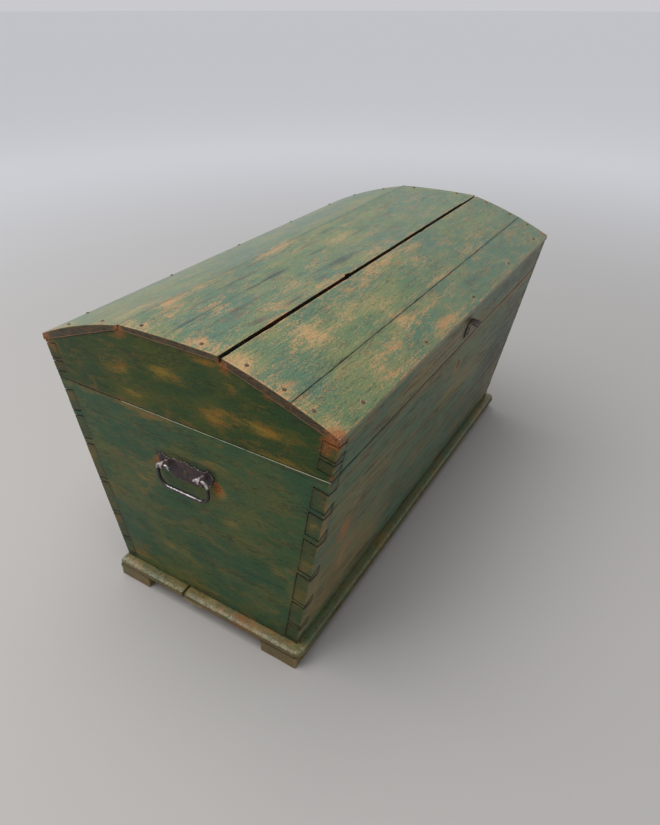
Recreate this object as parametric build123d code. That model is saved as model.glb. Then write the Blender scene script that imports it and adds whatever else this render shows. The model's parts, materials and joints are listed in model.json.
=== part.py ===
from build123d import *
import math
import os

os.makedirs("parts", exist_ok=True)

# All sizes are in millimetres. +Z is up, the front of the trunk faces -Y and its length runs along X.

# Overall sizes of the carcase.
LENGTH = 1120.0
BASE_DEPTH = 476.0
LEAN = 0.1778
FOOT_HEIGHT = 33.0
BOTTOM_THICK = 17.0
BODY_HEIGHT = 458.0
SEAM_GAP = 0.8
RAIL_HEIGHT = 79.2
WALL = 28.0

# Clearance left all round each dovetail, and between boards of one body.
JOINT_FIT = 0.15
# Clearance round a moving piece that slides, and round a pin that turns.
SLIDE_FIT = 0.3
PIN_FIT = 0.08

# Bottom boards and the nosing they make round the foot of the carcase.
NOSING_END = 23.0
NOSING_FRONT = 22.0
NOSING_BACK = 8.0
NOSING_ROUND = 7.0
NOSING_CORNER = 22.0
REAR_BOARD_WIDTH = 194.0
BOTTOM_SEAM_GAP = 4.0

# Feet, one block at each corner.
FOOT_WIDTH = 86.0
FOOT_LENGTH = 112.0
FOOT_SETBACK = 12.5

# Domed cover of the lid.
CROWN_RISE = 78.3
FLAT_HALF = 108.0
COVER_THICK = 13.0
COVER_SWELL = 6.0
COVER_LIP = 2.3
COVER_PROUD = 2.0
COVER_GAP = 6.0
COVER_SEAM = 0.6
GAP_OFFSET = 9.0
EDGE_BOARD_WIDTH = 86.0

# Dovetail pins. Each centre is a share of the wall height, each size is the pin's width at the corner.
BODY_PINS = [0.114, 0.273, 0.464, 0.678, 0.825]
BODY_PIN_SIZES = [7.0, 7.0, 10.0, 13.0, 11.0]
BODY_TOP_HALF_PIN = 27.0
BODY_LOW_HALF_PIN = 6.0
LID_PINS = [0.48]
LID_PIN_SIZES = [6.0]
LID_LOW_HALF_PIN = 12.0
LID_TOP_HALF_PIN = 6.0
PIN_FLARE = 6.5

# Nails. The heads are hand forged, so they have eight flat sides.
NAIL_HEAD = 8.0
NAIL_HEAD_HEIGHT = 1.8
NAIL_SHANK = 3.0
NAIL_FIT = 0.05
NAIL_LENGTH = 32.0

# Carrying handles, one on each end.
HANDLE_DROP = 111.0
PLATE_WIDTH = 138.0
PLATE_HEIGHT = 50.0
PLATE_THICK = 2.6
BAIL_BAR = 9.0
BAIL_WIDTH = 133.0
BAIL_DROP = 51.0
BAIL_STANDOFF = 13.5
EYE_SPACING = 92.0
BAIL_TURN = 10.0
BAIL_CORNER = 22.0
BAIL_TAIL = 7.0
BLOW_ANGLE = 15.0
EYE_WIDTH = 9.0
EYE_WALL = 3.2

# Hinges at the back.
HINGE_SPACING = 700.0
HINGE_WIDTH = 62.0
HINGE_LEAF = 3.0
HINGE_LEAF_HEIGHT = 56.0
HINGE_PIN = 7.0
PIN_CAP = 1.0
HINGE_BARREL = 14.0

# Lock behind the front board, and the staple that the lid carries down into it.
KEYHOLE_X = 22.0
KEYHOLE_DROP = 68.0
KEYHOLE_WIDTH = 6.5
KEYHOLE_LENGTH = 20.0
LOCK_MARGIN = 18.0
LOCK_WALL = 2.5
BOLT_LENGTH = 62.0
BOLT_SIZE = 9.0
BOLT_THROW = 12.0
BOLT_DROP = 34.0
BOLT_REST = 3.0
GUIDE_INSET = 6.0
FLANGE_WIDTH = 16.0
FLANGE_THICK = 2.0
STAPLE_THICK = 4.0
STAPLE_METAL = 3.0
STAPLE_OFFSET = 36.0
STAPLE_ROOM = 3.0
STAPLE_LEAF = 62.0
STAPLE_LEAF_WIDTH = 40.0
LOOP_PLAY = 1.2

# Lip on the front of the lid, for lifting it.
PULL_WIDTH = 27.0
PULL_OUT = 22.0
PULL_THICK = 3.0
PULL_LEAF = 40.0
PULL_DROP = 22.0
PULL_DIP = 4.5

# Levels worked out from the sizes above.
FLOOR_TOP = FOOT_HEIGHT + BOTTOM_THICK
SEAM = FLOOR_TOP + BODY_HEIGHT
LID_BOTTOM = SEAM + SEAM_GAP
RIM = LID_BOTTOM + RAIL_HEIGHT
CROWN = RIM + CROWN_RISE
LEAN_ANGLE = math.atan(LEAN)
COS_L = math.cos(LEAN_ANGLE)
SIN_L = math.sin(LEAN_ANGLE)
WALL_Y = WALL / COS_L
HALF = LENGTH / 2


def face_y(z):
    """Half depth of the carcase at height z, to the outside of the front or back board."""
    return BASE_DEPTH / 2 + (z - FLOOR_TOP) * LEAN


COVER_EDGE = face_y(RIM) + COVER_LIP
# Where the cover boards meet: the wide gap in front of the middle board, the fine seam in front
# of it, and the seam behind the middle board.
GAP_Y = -FLAT_HALF - GAP_OFFSET
COVER_SEAM_Y = EDGE_BOARD_WIDTH - COVER_EDGE
BACK_SEAM_Y = FLAT_HALF + COVER_SEAM * 3
SLOPE = (CROWN - RIM) / (face_y(RIM) - FLAT_HALF)
PULL_Z = RIM - PULL_DROP
PULL_TIP = face_y(PULL_Z) + PULL_OUT

# The lip stands out further in front than the cover does behind, so the whole trunk is
# moved back by half of the difference. This puts the middle of its outline over the origin.
SHIFT = (PULL_TIP - COVER_EDGE) / 2


def under_z(y):
    """Height of the underside of the cover boards at depth y."""
    return CROWN - max(0.0, abs(y) - FLAT_HALF) * SLOPE


def prism_x(points, x0, x1):
    """A solid with the outline points, given as (y, z), reaching from x0 to x1."""
    face = make_face(Polyline(*points, close=True))
    return Pos(x0, 0, 0) * extrude(Plane.YZ * face, amount=x1 - x0)


def block(x0, x1, y0, y1, z0, z1):
    """A plain block between two corners."""
    size = Box(x1 - x0, y1 - y0, z1 - z0)
    return Pos((x0 + x1) / 2, (y0 + y1) / 2, (z0 + z1) / 2) * size


# A plane lying on the outside of the front board. Its own x runs along the trunk, its own y
# runs up the board and its z points out of the board.
FRONT_PLANE = Plane(
    origin=(0, -face_y(FLOOR_TOP), FLOOR_TOP),
    x_dir=(1, 0, 0),
    z_dir=(0, -COS_L, -SIN_L),
)
# The same at the back, with x running the other way.
BACK_PLANE = Plane(
    origin=(0, face_y(FLOOR_TOP), FLOOR_TOP),
    x_dir=(-1, 0, 0),
    z_dir=(0, COS_L, -SIN_L),
)


def up_board(z):
    """Distance up the leaning board that reaches height z."""
    return (z - FLOOR_TOP) / COS_L


def pin_prism(z_low, z_high, flare_low, flare_high, grow, depth):
    """One dovetail pin at the left front corner, seen on the board as a widening wedge.

    grow widens it on every side, to cut the socket that the pin sits in.
    """
    a = up_board(z_low) - grow
    b = up_board(z_high) + grow
    outer = -HALF - (5.0 if grow else 0.0)
    inner = -HALF + WALL + grow
    run = (inner - outer) / WALL
    outline = Polyline(
        (outer, a),
        (inner, a - flare_low * run),
        (inner, b + flare_high * run),
        (outer, b),
        close=True,
    )
    solid = extrude(make_face(outline), amount=-depth - (5.0 if grow else 0.0))
    if grow:
        solid = Pos(0, 0, 5.0) * extrude(make_face(outline), amount=-depth - 10.0)
    return FRONT_PLANE.location * solid


def pin_set(levels, sizes, bottom, height, low_half, top_half, grow, depth):
    """All the pins of one corner, with the half pins above and below them."""
    pins = []
    for share, size in zip(levels, sizes):
        middle = bottom + share * height
        pins.append(pin_prism(middle - size / 2, middle + size / 2, PIN_FLARE, PIN_FLARE, grow, depth))
    pins.append(pin_prism(bottom - 40, bottom + low_half, 0, PIN_FLARE, grow, depth))
    pins.append(pin_prism(bottom + height - top_half, bottom + height + 40, PIN_FLARE, 0, grow, depth))
    whole = pins[0]
    for pin in pins[1:]:
        whole = whole + pin
    return whole


def all_corners(solid):
    """Copies of a piece made for the left front corner, placed at all four."""
    right = mirror(solid, about=Plane.YZ)
    return [solid, mirror(solid, about=Plane.XZ), right, mirror(right, about=Plane.XZ)]


def nail(length=NAIL_LENGTH, head=NAIL_HEAD, sink=0.0):
    """A forged nail standing on its point, its head on z = 0, or sunk below it."""
    top = extrude(RegularPolygon(radius=head / 2, side_count=8), amount=NAIL_HEAD_HEIGHT, taper=38)
    shank = block(-NAIL_SHANK / 2, NAIL_SHANK / 2, -NAIL_SHANK / 2, NAIL_SHANK / 2, -length, 0.2)
    return Pos(0, 0, -sink) * (top + shank)


def nail_hole(length=NAIL_LENGTH, head=NAIL_HEAD, sink=0.0):
    """The hole that the same nail needs, a hair larger all round, with a seat for a sunk head."""
    half = NAIL_SHANK / 2 + NAIL_FIT
    hole = block(-half, half, -half, half, -length - 6 * NAIL_FIT, NAIL_HEAD_HEIGHT)
    if sink > 0:
        seat = extrude(RegularPolygon(radius=head / 2 + NAIL_FIT, side_count=8), amount=NAIL_HEAD_HEIGHT * 2)
        hole = hole + Pos(0, 0, -NAIL_FIT) * seat
    return Pos(0, 0, -sink) * hole


def place(solid, point, out):
    """Turn a piece made on z = 0 so that its z points along out, and move it to point."""
    return Plane(origin=point, x_dir=(1, 0, 0), z_dir=out).location * solid


def drive(nails, holes, point, out, **sizes):
    """Add one nail at point, and the hole for it, to the two lists."""
    nails.append(place(nail(**sizes), point, out))
    holes.append(place(nail_hole(**sizes), point, out))


def cut_all(solid, tools):
    """Take every tool out of a solid."""
    for tool in tools:
        solid = solid - tool
    return solid


parts = {}

# Body boards. The front and back boards carry the tails, the end boards carry the pins.
wall_outline = [
    (face_y(FLOOR_TOP), FLOOR_TOP),
    (face_y(SEAM), SEAM),
    (face_y(SEAM) - WALL_Y, SEAM),
    (face_y(FLOOR_TOP) - WALL_Y, FLOOR_TOP),
]
body_sockets = pin_set(
    BODY_PINS, BODY_PIN_SIZES, FLOOR_TOP, BODY_HEIGHT, BODY_LOW_HALF_PIN, BODY_TOP_HALF_PIN, JOINT_FIT, WALL
)
body_pins = pin_set(
    BODY_PINS, BODY_PIN_SIZES, FLOOR_TOP, BODY_HEIGHT, BODY_LOW_HALF_PIN, BODY_TOP_HALF_PIN, 0, WALL + 1.0
)
back_panel = prism_x(wall_outline, -HALF, HALF)
front_panel = mirror(back_panel, about=Plane.XZ)
sockets = all_corners(body_sockets)
front_panel = cut_all(front_panel, [sockets[0], sockets[2]])
back_panel = cut_all(back_panel, [sockets[1], sockets[3]])

core_outline = [
    (face_y(FLOOR_TOP) - WALL_Y - JOINT_FIT, FLOOR_TOP),
    (face_y(SEAM) - WALL_Y - JOINT_FIT, SEAM),
    (-face_y(SEAM) + WALL_Y + JOINT_FIT, SEAM),
    (-face_y(FLOOR_TOP) + WALL_Y + JOINT_FIT, FLOOR_TOP),
]
body_slab = block(-HALF, HALF, -BASE_DEPTH * 2, BASE_DEPTH * 2, FLOOR_TOP, SEAM)
clipped_pins = body_pins & body_slab
left_end_panel = prism_x(core_outline, -HALF, -HALF + WALL)
left_end_panel = left_end_panel + clipped_pins
left_end_panel = left_end_panel + mirror(clipped_pins, about=Plane.XZ)
right_end_panel = mirror(left_end_panel, about=Plane.YZ)

# Keyhole: a round top for the shank of the key, and a slot below it.
keyhole_z = SEAM - KEYHOLE_DROP
keyhole_v = up_board(keyhole_z)
slot = Pos(KEYHOLE_X, keyhole_v, -WALL - 5) * Box(
    KEYHOLE_WIDTH, KEYHOLE_LENGTH, WALL * 2 + 20, align=(Align.CENTER, Align.CENTER, Align.CENTER)
)
key_round = Pos(KEYHOLE_X, keyhole_v + KEYHOLE_LENGTH / 2 - 2, -WALL / 2) * Cylinder(
    KEYHOLE_WIDTH * 0.62, WALL * 2 + 20
)
front_panel = front_panel - FRONT_PLANE.location * slot
front_panel = front_panel - FRONT_PLANE.location * key_round

# Bottom boards. They are made as one nosed slab and then parted along the shrinkage gap.
nose_x = HALF + NOSING_END
nose_front = -face_y(FLOOR_TOP) - NOSING_FRONT
nose_back = face_y(FLOOR_TOP) + NOSING_BACK
slab = block(-nose_x, nose_x, nose_front, nose_back, FOOT_HEIGHT, FLOOR_TOP)
uprights = slab.edges().filter_by(Axis.Z).sort_by(Axis.Y)
slab = fillet(uprights[0:2], NOSING_CORNER)
uprights = slab.edges().filter_by(Axis.Z).sort_by(Axis.Y)
slab = fillet(uprights[-2:], NOSING_BACK)
slab = fillet(slab.faces().sort_by(Axis.Z)[-1].edges(), NOSING_ROUND)
slab = chamfer(slab.faces().sort_by(Axis.Z)[0].edges(), 1.5)
seam_high = nose_back - REAR_BOARD_WIDTH
seam_low = seam_high - BOTTOM_SEAM_GAP
bottom_front = slab & block(-nose_x, nose_x, nose_front, seam_low, 0, FLOOR_TOP)
bottom_rear = slab & block(-nose_x, nose_x, seam_high, nose_back, 0, FLOOR_TOP)

# Feet.
foot_x0 = -nose_x + 0.5
foot_front_y = nose_front + FOOT_SETBACK
foot_front = block(foot_x0, foot_x0 + FOOT_LENGTH, foot_front_y, foot_front_y + FOOT_WIDTH, 0, FOOT_HEIGHT)
foot_rear = block(foot_x0, foot_x0 + FOOT_LENGTH, nose_back - FOOT_WIDTH, nose_back, 0, FOOT_HEIGHT)
foot_front = chamfer(foot_front.edges().filter_by(Axis.Z), 1.5)
foot_rear = chamfer(foot_rear.edges().filter_by(Axis.Z), 1.5)

# Nails driven up from below: two through each foot, and a row through the bottom boards
# into the walls. Their heads sit in small countersinks.
foot_nails = []
foot_holes = []
long_nail = FOOT_HEIGHT + BOTTOM_THICK * 0.7
for side in (-1, 1):
    for mid_y in (foot_front_y + FOOT_WIDTH / 2, nose_back - FOOT_WIDTH / 2):
        for along in (0.28, 0.78):
            spot = (side * (nose_x - FOOT_LENGTH * along), mid_y, 0)
            drive(foot_nails, foot_holes, spot, (0, 0, -1), length=long_nail, sink=NAIL_HEAD_HEIGHT + 1.0)
bottom_nails = []
bottom_holes = []
for side in (-1, 1):
    wall_mid = face_y(FLOOR_TOP) - WALL_Y / 2
    for x in (-0.3 * LENGTH, 0.0, 0.3 * LENGTH):
        spot = (x, side * wall_mid, FOOT_HEIGHT)
        drive(bottom_nails, bottom_holes, spot, (0, 0, -1), sink=NAIL_HEAD_HEIGHT + 0.2)
    for y in (-0.14 * BASE_DEPTH, 0.22 * BASE_DEPTH):
        spot = (side * (HALF - WALL / 2), y, FOOT_HEIGHT)
        drive(bottom_nails, bottom_holes, spot, (0, 0, -1), sink=NAIL_HEAD_HEIGHT + 0.2)
feet = {
    "foot_front_left": foot_front,
    "foot_front_right": mirror(foot_front, about=Plane.YZ),
    "foot_rear_left": foot_rear,
    "foot_rear_right": mirror(foot_rear, about=Plane.YZ),
}


def touching(solid, tools):
    """The tools whose outlines come within reach of the solid."""
    box = solid.bounding_box()
    found = []
    for tool in tools:
        other = tool.bounding_box()
        clear = (
            other.min.X > box.max.X
            or other.max.X < box.min.X
            or other.min.Y > box.max.Y
            or other.max.Y < box.min.Y
            or other.min.Z > box.max.Z
            or other.max.Z < box.min.Z
        )
        if not clear:
            found.append(tool)
    return found


for name, foot in feet.items():
    parts[name] = cut_all(foot, touching(foot, foot_holes))
bottom_tools = foot_holes + bottom_holes
parts["bottom_board_front"] = cut_all(bottom_front, touching(bottom_front, bottom_tools))
parts["bottom_board_rear"] = cut_all(bottom_rear, touching(bottom_rear, bottom_tools))
parts["foot_nails"] = foot_nails
parts["bottom_nails"] = bottom_nails

# Lid frame. It carries on the lines of the body, with its own dovetails.
lid_reach = COVER_EDGE + 30.0
lid_space_outline = [
    (-lid_reach, LID_BOTTOM),
    (lid_reach, LID_BOTTOM),
    (lid_reach, under_z(lid_reach)),
    (FLAT_HALF, CROWN),
    (-FLAT_HALF, CROWN),
    (-lid_reach, under_z(lid_reach)),
]
lid_space = prism_x(lid_space_outline, -HALF, HALF)
tall = RIM + WALL * 2
rail_outline = [
    (face_y(LID_BOTTOM - 5), LID_BOTTOM - 5),
    (face_y(tall), tall),
    (face_y(tall) - WALL_Y, tall),
    (face_y(LID_BOTTOM - 5) - WALL_Y, LID_BOTTOM - 5),
]
lid_sockets = pin_set(
    LID_PINS, LID_PIN_SIZES, LID_BOTTOM, RAIL_HEIGHT, LID_LOW_HALF_PIN, LID_TOP_HALF_PIN, JOINT_FIT, WALL
)
lid_pins = pin_set(
    LID_PINS, LID_PIN_SIZES, LID_BOTTOM, RAIL_HEIGHT, LID_LOW_HALF_PIN, LID_TOP_HALF_PIN, 0, WALL + 1.0
)
lid_back_rail = prism_x(rail_outline, -HALF, HALF) & lid_space
lid_front_rail = mirror(lid_back_rail, about=Plane.XZ)
lid_corner = all_corners(lid_sockets)
lid_front_rail = cut_all(lid_front_rail, [lid_corner[0], lid_corner[2]])
lid_back_rail = cut_all(lid_back_rail, [lid_corner[1], lid_corner[3]])

inner_low = face_y(LID_BOTTOM) - WALL_Y - JOINT_FIT
inner_high = face_y(tall) - WALL_Y - JOINT_FIT
lid_core_outline = [
    (-inner_low, LID_BOTTOM),
    (inner_low, LID_BOTTOM),
    (inner_high, tall),
    (inner_high, CROWN + 50),
    (-inner_high, CROWN + 50),
    (-inner_high, tall),
]
lid_left_end = prism_x(lid_core_outline, -HALF, -HALF + WALL) & lid_space
clipped_lid_pins = lid_pins & lid_space
lid_left_end = lid_left_end + clipped_lid_pins
lid_left_end = lid_left_end + mirror(clipped_lid_pins, about=Plane.XZ)
lid_right_end = mirror(lid_left_end, about=Plane.YZ)


def arc_height(p, q, r, y):
    """Height at y on the circle through the three points p, q and r."""
    ax, ay = p
    bx, by = q
    cx, cy = r
    d = 2 * (ax * (by - cy) + bx * (cy - ay) + cx * (ay - by))
    ux = ((ax**2 + ay**2) * (by - cy) + (bx**2 + by**2) * (cy - ay) + (cx**2 + cy**2) * (ay - by)) / d
    uy = ((ax**2 + ay**2) * (cx - bx) + (bx**2 + by**2) * (ax - cx) + (cx**2 + cy**2) * (bx - ax)) / d
    radius = math.hypot(ax - ux, ay - uy)
    return uy + math.sqrt(radius**2 - (y - ux) ** 2)


# Each slope of the cover is flat below and planed round on top. These three points give the curve.
front_edge = (-COVER_EDGE, under_z(COVER_EDGE) + COVER_THICK - 1.5)
front_top = (GAP_Y - COVER_GAP / 2, under_z(GAP_Y - COVER_GAP / 2) + COVER_THICK)
front_mid_y = (front_edge[0] + front_top[0]) / 2
front_mid = (front_mid_y, under_z(front_mid_y) + COVER_THICK + COVER_SWELL)
back_edge = (COVER_EDGE, under_z(COVER_EDGE) + COVER_THICK + 1.0)
back_top = (BACK_SEAM_Y + COVER_SEAM, under_z(BACK_SEAM_Y + COVER_SEAM) + COVER_THICK - 4.0)
back_mid_y = (back_edge[0] + back_top[0]) / 2
back_mid = (back_mid_y, under_z(back_mid_y) + COVER_THICK + COVER_SWELL)
mid_front = (GAP_Y + COVER_GAP / 2, CROWN + COVER_THICK - 2.0)
mid_back = (BACK_SEAM_Y - COVER_SEAM, CROWN + COVER_THICK - 3.0)
mid_mid = (0.0, CROWN + COVER_THICK)


def cover_board(y0, y1, curve):
    """One cover board from y0 to y1, flat below, its top following the curve's three points."""
    y_mid = (y0 + y1) / 2
    z0 = arc_height(*curve, y0)
    z1 = arc_height(*curve, y1)
    z_mid = arc_height(*curve, y_mid)
    low0 = under_z(y0) + 0.1
    low1 = under_z(y1) + 0.1
    if y0 < 0 < y1:
        low0 = CROWN + 0.1
        low1 = CROWN + 0.1
    edges = [
        Line((y0, low0), (y1, low1)),
        Line((y1, low1), (y1, z1)),
        ThreePointArc((y1, z1), (y_mid, z_mid), (y0, z0)),
        Line((y0, z0), (y0, low0)),
    ]
    face = make_face(edges)
    reach = HALF + COVER_PROUD
    return Pos(-reach, 0, 0) * extrude(Plane.YZ * face, amount=2 * reach)


front_curve = (front_edge, front_mid, front_top)
back_curve = (back_edge, back_mid, back_top)
mid_curve = (mid_front, mid_mid, mid_back)
cover_boards = {
    "cover_board_edge": cover_board(-COVER_EDGE, COVER_SEAM_Y - COVER_SEAM / 2, front_curve),
    "cover_board_front": cover_board(COVER_SEAM_Y + COVER_SEAM / 2, GAP_Y - COVER_GAP / 2, front_curve),
    "cover_board_middle": cover_board(GAP_Y + COVER_GAP / 2, BACK_SEAM_Y - COVER_SEAM, mid_curve),
    "cover_board_back": cover_board(BACK_SEAM_Y + COVER_SEAM, COVER_EDGE, back_curve),
}


def cover_spot(x, y):
    """The point on top of the cover at x and y, and the direction straight out of it."""
    curve = mid_curve
    if y < GAP_Y:
        curve = front_curve
    if y > BACK_SEAM_Y:
        curve = back_curve
    z = arc_height(*curve, y)
    rise = (arc_height(*curve, y + 0.5) - arc_height(*curve, y - 0.5)) / 1.0
    length = math.hypot(rise, 1.0)
    return (x, y, z), (0, -rise / length, 1.0 / length)


# Cover nails: along both rails, and down each end into the arched end boards.
cover_nails = []
cover_holes = []
rail_row = face_y(RIM) - WALL_Y / 2
for share in (-0.413, -0.195, 0.027, 0.24, 0.43):
    for side in (-1, 1):
        point, out = cover_spot(share * LENGTH, side * rail_row)
        drive(cover_nails, cover_holes, point, out)
for share in (-0.84, -0.68, -0.47, -0.2, 0.2, 0.5, 0.8):
    for side in (-1, 1):
        point, out = cover_spot(side * (HALF - WALL / 2), share * face_y(RIM))
        drive(cover_nails, cover_holes, point, out)
for name, board in cover_boards.items():
    parts[name] = cut_all(board, touching(board, cover_holes))
parts["cover_nails"] = cover_nails

# Hinges. The axis runs along X just behind the seam.
hinge_y = face_y(SEAM) + HINGE_BARREL / 2 + SLIDE_FIT
hinge_z = SEAM + SEAM_GAP / 2
# The barrel is beaten round a bar, which leaves it with twelve flats outside.
barrel_outline = Rot(0, 90, 0) * RegularPolygon(radius=HINGE_BARREL / 2, side_count=12, rotation=15)
barrel = Pos(0, hinge_y, hinge_z) * extrude(barrel_outline, amount=HINGE_WIDTH / 2, both=True)
bore = Pos(0, hinge_y, hinge_z) * Rot(0, 90, 0) * Cylinder(HINGE_PIN / 2 + PIN_FIT, HINGE_WIDTH + 10)
sweep_room = Pos(0, hinge_y, hinge_z) * Rot(0, 90, 0) * Cylinder(
    HINGE_BARREL / 2 + SLIDE_FIT * 2, HINGE_WIDTH / 3
)
third = HINGE_WIDTH / 3


def leaf_plate(z_from, z_to):
    """A hinge leaf lying on the outside of the back board between two heights."""
    outline = [
        (face_y(z_from), z_from),
        (face_y(z_to), z_to),
        (face_y(z_to) + HINGE_LEAF / COS_L, z_to),
        (face_y(z_from) + HINGE_LEAF / COS_L, z_from),
    ]
    return prism_x(outline, -HINGE_WIDTH / 2, HINGE_WIDTH / 2)


def middle_slice(grow):
    """The middle third of the hinge's width, where the lid's knuckle sits."""
    half = third / 2 + grow
    return block(-half, half, hinge_y - 40, hinge_y + 40, hinge_z - 400, hinge_z + 400)


low_leaf = leaf_plate(SEAM - HINGE_LEAF_HEIGHT, hinge_z - 2.0)
low_leaf = low_leaf - sweep_room
low_knuckles = barrel - middle_slice(SLIDE_FIT / 2)
body_leaf = (low_leaf + low_knuckles) - bore
lid_leaf_top = LID_BOTTOM + HINGE_LEAF_HEIGHT
high_leaf = leaf_plate(LID_BOTTOM + 0.5, lid_leaf_top)
side_room = Pos(0, hinge_y, hinge_z) * Rot(0, 90, 0) * Cylinder(
    HINGE_BARREL / 2 + SLIDE_FIT * 2, HINGE_WIDTH + 10
)
high_leaf = high_leaf - (side_room - middle_slice(-SLIDE_FIT / 2))
high_knuckle = barrel & middle_slice(-SLIDE_FIT / 2)
lid_leaf = (high_leaf + high_knuckle) - bore
hinge_pin = Pos(0, hinge_y, hinge_z) * Rot(0, 90, 0) * Cylinder(HINGE_PIN / 2, HINGE_WIDTH)
# Its ends are hammered out into small flat-sided caps, which keep it in the barrel.
cap_outline = Rot(0, 90, 0) * RegularPolygon(radius=HINGE_PIN / 2 + PIN_CAP, side_count=8)
for side in (-1, 1):
    pin_cap = extrude(cap_outline, amount=side * PIN_CAP * 1.5)
    hinge_pin = hinge_pin + Pos(side * HINGE_WIDTH / 2, hinge_y, hinge_z) * pin_cap

body_leaf_nails = []
body_leaf_holes = []
lid_leaf_nails = []
lid_leaf_holes = []
out_back = (0, COS_L, -SIN_L)
for x, drop in ((-0.3, 0.5), (0.3, 0.5), (0.0, 0.8)):
    z_low = SEAM - drop * HINGE_LEAF_HEIGHT
    z_high = LID_BOTTOM + drop * HINGE_LEAF_HEIGHT
    short = {"length": WALL * 0.85}
    low_point = (x * HINGE_WIDTH, face_y(z_low) + HINGE_LEAF / COS_L, z_low)
    high_point = (x * HINGE_WIDTH, face_y(z_high) + HINGE_LEAF / COS_L, z_high)
    drive(body_leaf_nails, body_leaf_holes, low_point, out_back, **short)
    drive(lid_leaf_nails, lid_leaf_holes, high_point, out_back, **short)
body_leaf = cut_all(body_leaf, body_leaf_holes)
lid_leaf = cut_all(lid_leaf, lid_leaf_holes)

all_body_leaf_nails = []
all_lid_leaf_nails = []
all_leaf_holes = []
for side, word in ((-1, "left"), (1, "right")):
    move = Pos(side * HINGE_SPACING / 2, 0, 0)
    parts["hinge_leaf_body_" + word] = move * body_leaf
    parts["hinge_leaf_lid_" + word] = move * lid_leaf
    parts["hinge_pin_" + word] = move * hinge_pin
    all_body_leaf_nails += [move * n for n in body_leaf_nails]
    all_lid_leaf_nails += [move * n for n in lid_leaf_nails]
    all_leaf_holes += [move * n for n in body_leaf_holes + lid_leaf_holes]
parts["hinge_nails_body"] = all_body_leaf_nails
parts["hinge_nails_lid"] = all_lid_leaf_nails

# Handle plate, made for the left end and facing -X. Its top edge is scalloped.
handle_z = SEAM - HANDLE_DROP
pw = PLATE_WIDTH / 2
ph = PLATE_HEIGHT / 2
scallops = [
    (-pw * 0.93, ph * 0.8),
    (-pw * 0.8, ph * 1.0),
    (-pw * 0.66, ph * 0.78),
    (-pw * 0.57, ph * 0.72),
    (-pw * 0.48, ph * 0.78),
    (-pw * 0.37, ph * 0.94),
    (-pw * 0.26, ph * 0.8),
    (-pw * 0.16, ph * 0.84),
    (-pw * 0.1, ph * 0.92),
    (0, ph * 1.0),
    (pw * 0.1, ph * 0.92),
    (pw * 0.16, ph * 0.84),
    (pw * 0.26, ph * 0.8),
    (pw * 0.37, ph * 0.94),
    (pw * 0.48, ph * 0.78),
    (pw * 0.57, ph * 0.72),
    (pw * 0.66, ph * 0.78),
    (pw * 0.8, ph * 1.0),
    (pw * 0.93, ph * 0.8),
]
# The edge was cut with a chisel, straight from each point to the next.
top_edge = [Polyline(*scallops)]
plate_edges = top_edge + [
    Line((pw * 0.93, ph * 0.8), (pw, ph * 0.45)),
    Line((pw, ph * 0.45), (pw * 0.9, -ph * 0.3)),
    ThreePointArc((pw * 0.9, -ph * 0.3), (pw * 0.74, -ph * 0.42), (pw * 0.58, -ph * 0.34)),
    Line((pw * 0.58, -ph * 0.34), (pw * 0.52, -ph * 0.9)),
    ThreePointArc((pw * 0.52, -ph * 0.9), (0, -ph), (-pw * 0.52, -ph * 0.9)),
    Line((-pw * 0.52, -ph * 0.9), (-pw * 0.58, -ph * 0.34)),
    ThreePointArc((-pw * 0.58, -ph * 0.34), (-pw * 0.74, -ph * 0.42), (-pw * 0.9, -ph * 0.3)),
    Line((-pw * 0.9, -ph * 0.3), (-pw, ph * 0.45)),
    Line((-pw, ph * 0.45), (-pw * 0.93, ph * 0.8)),
]
plate = extrude(make_face(plate_edges), amount=PLATE_THICK)
# Pieces of the left handle are drawn on this plane: x runs along -Y, y runs up, z points out.
END_PLANE = Plane(origin=(-HALF, 0, handle_z), x_dir=(0, -1, 0), z_dir=(-1, 0, 0))

# Bail: a bar forged with eight flats and bent to a D over the anvil's edge, in three blows to
# each bend. Its ends turn in, and are round there to pass through the two eyes.
pivot_v = ph * 0.28
leg = (BAIL_WIDTH - BAIL_BAR) / 2
turn = BAIL_TURN
corner = BAIL_CORNER
tail_end = EYE_SPACING / 2 - EYE_WIDTH / 2 - BAIL_TAIL


def bend(middle_x, middle_y, radius, start):
    """The three corners of a quarter turn, clockwise from the angle start, in degrees."""
    reach = radius / math.cos(math.radians(BLOW_ANGLE))
    points = []
    for turned in (BLOW_ANGLE, 3 * BLOW_ANGLE, 5 * BLOW_ANGLE):
        angle = math.radians(start - turned)
        points.append((middle_x + reach * math.cos(angle), middle_y + reach * math.sin(angle), 0))
    return points


half_path = [(leg - turn, 0, 0)]
half_path += bend(leg - turn, -turn, turn, 90)
half_path += bend(leg - corner, corner - BAIL_DROP, corner, 0)
other_half = [(-x, y, z) for x, y, z in reversed(half_path)]
bail_path = Polyline(*half_path, *other_half)
bail_start = Plane(origin=(leg - turn, 0, 0), z_dir=(1, 0, 0))
flats = RegularPolygon(radius=BAIL_BAR / 2, side_count=8, major_radius=False, rotation=22.5)
bail = sweep(bail_start * flats, path=bail_path, transition=Transition.RIGHT)
journal = Rot(0, 90, 0) * Cylinder(BAIL_BAR / 2, leg - turn - tail_end)
for side in (-1, 1):
    bail = bail + Pos(side * (leg - turn + tail_end) / 2, 0, 0) * journal
bail = Pos(0, pivot_v, BAIL_STANDOFF) * bail

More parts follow.
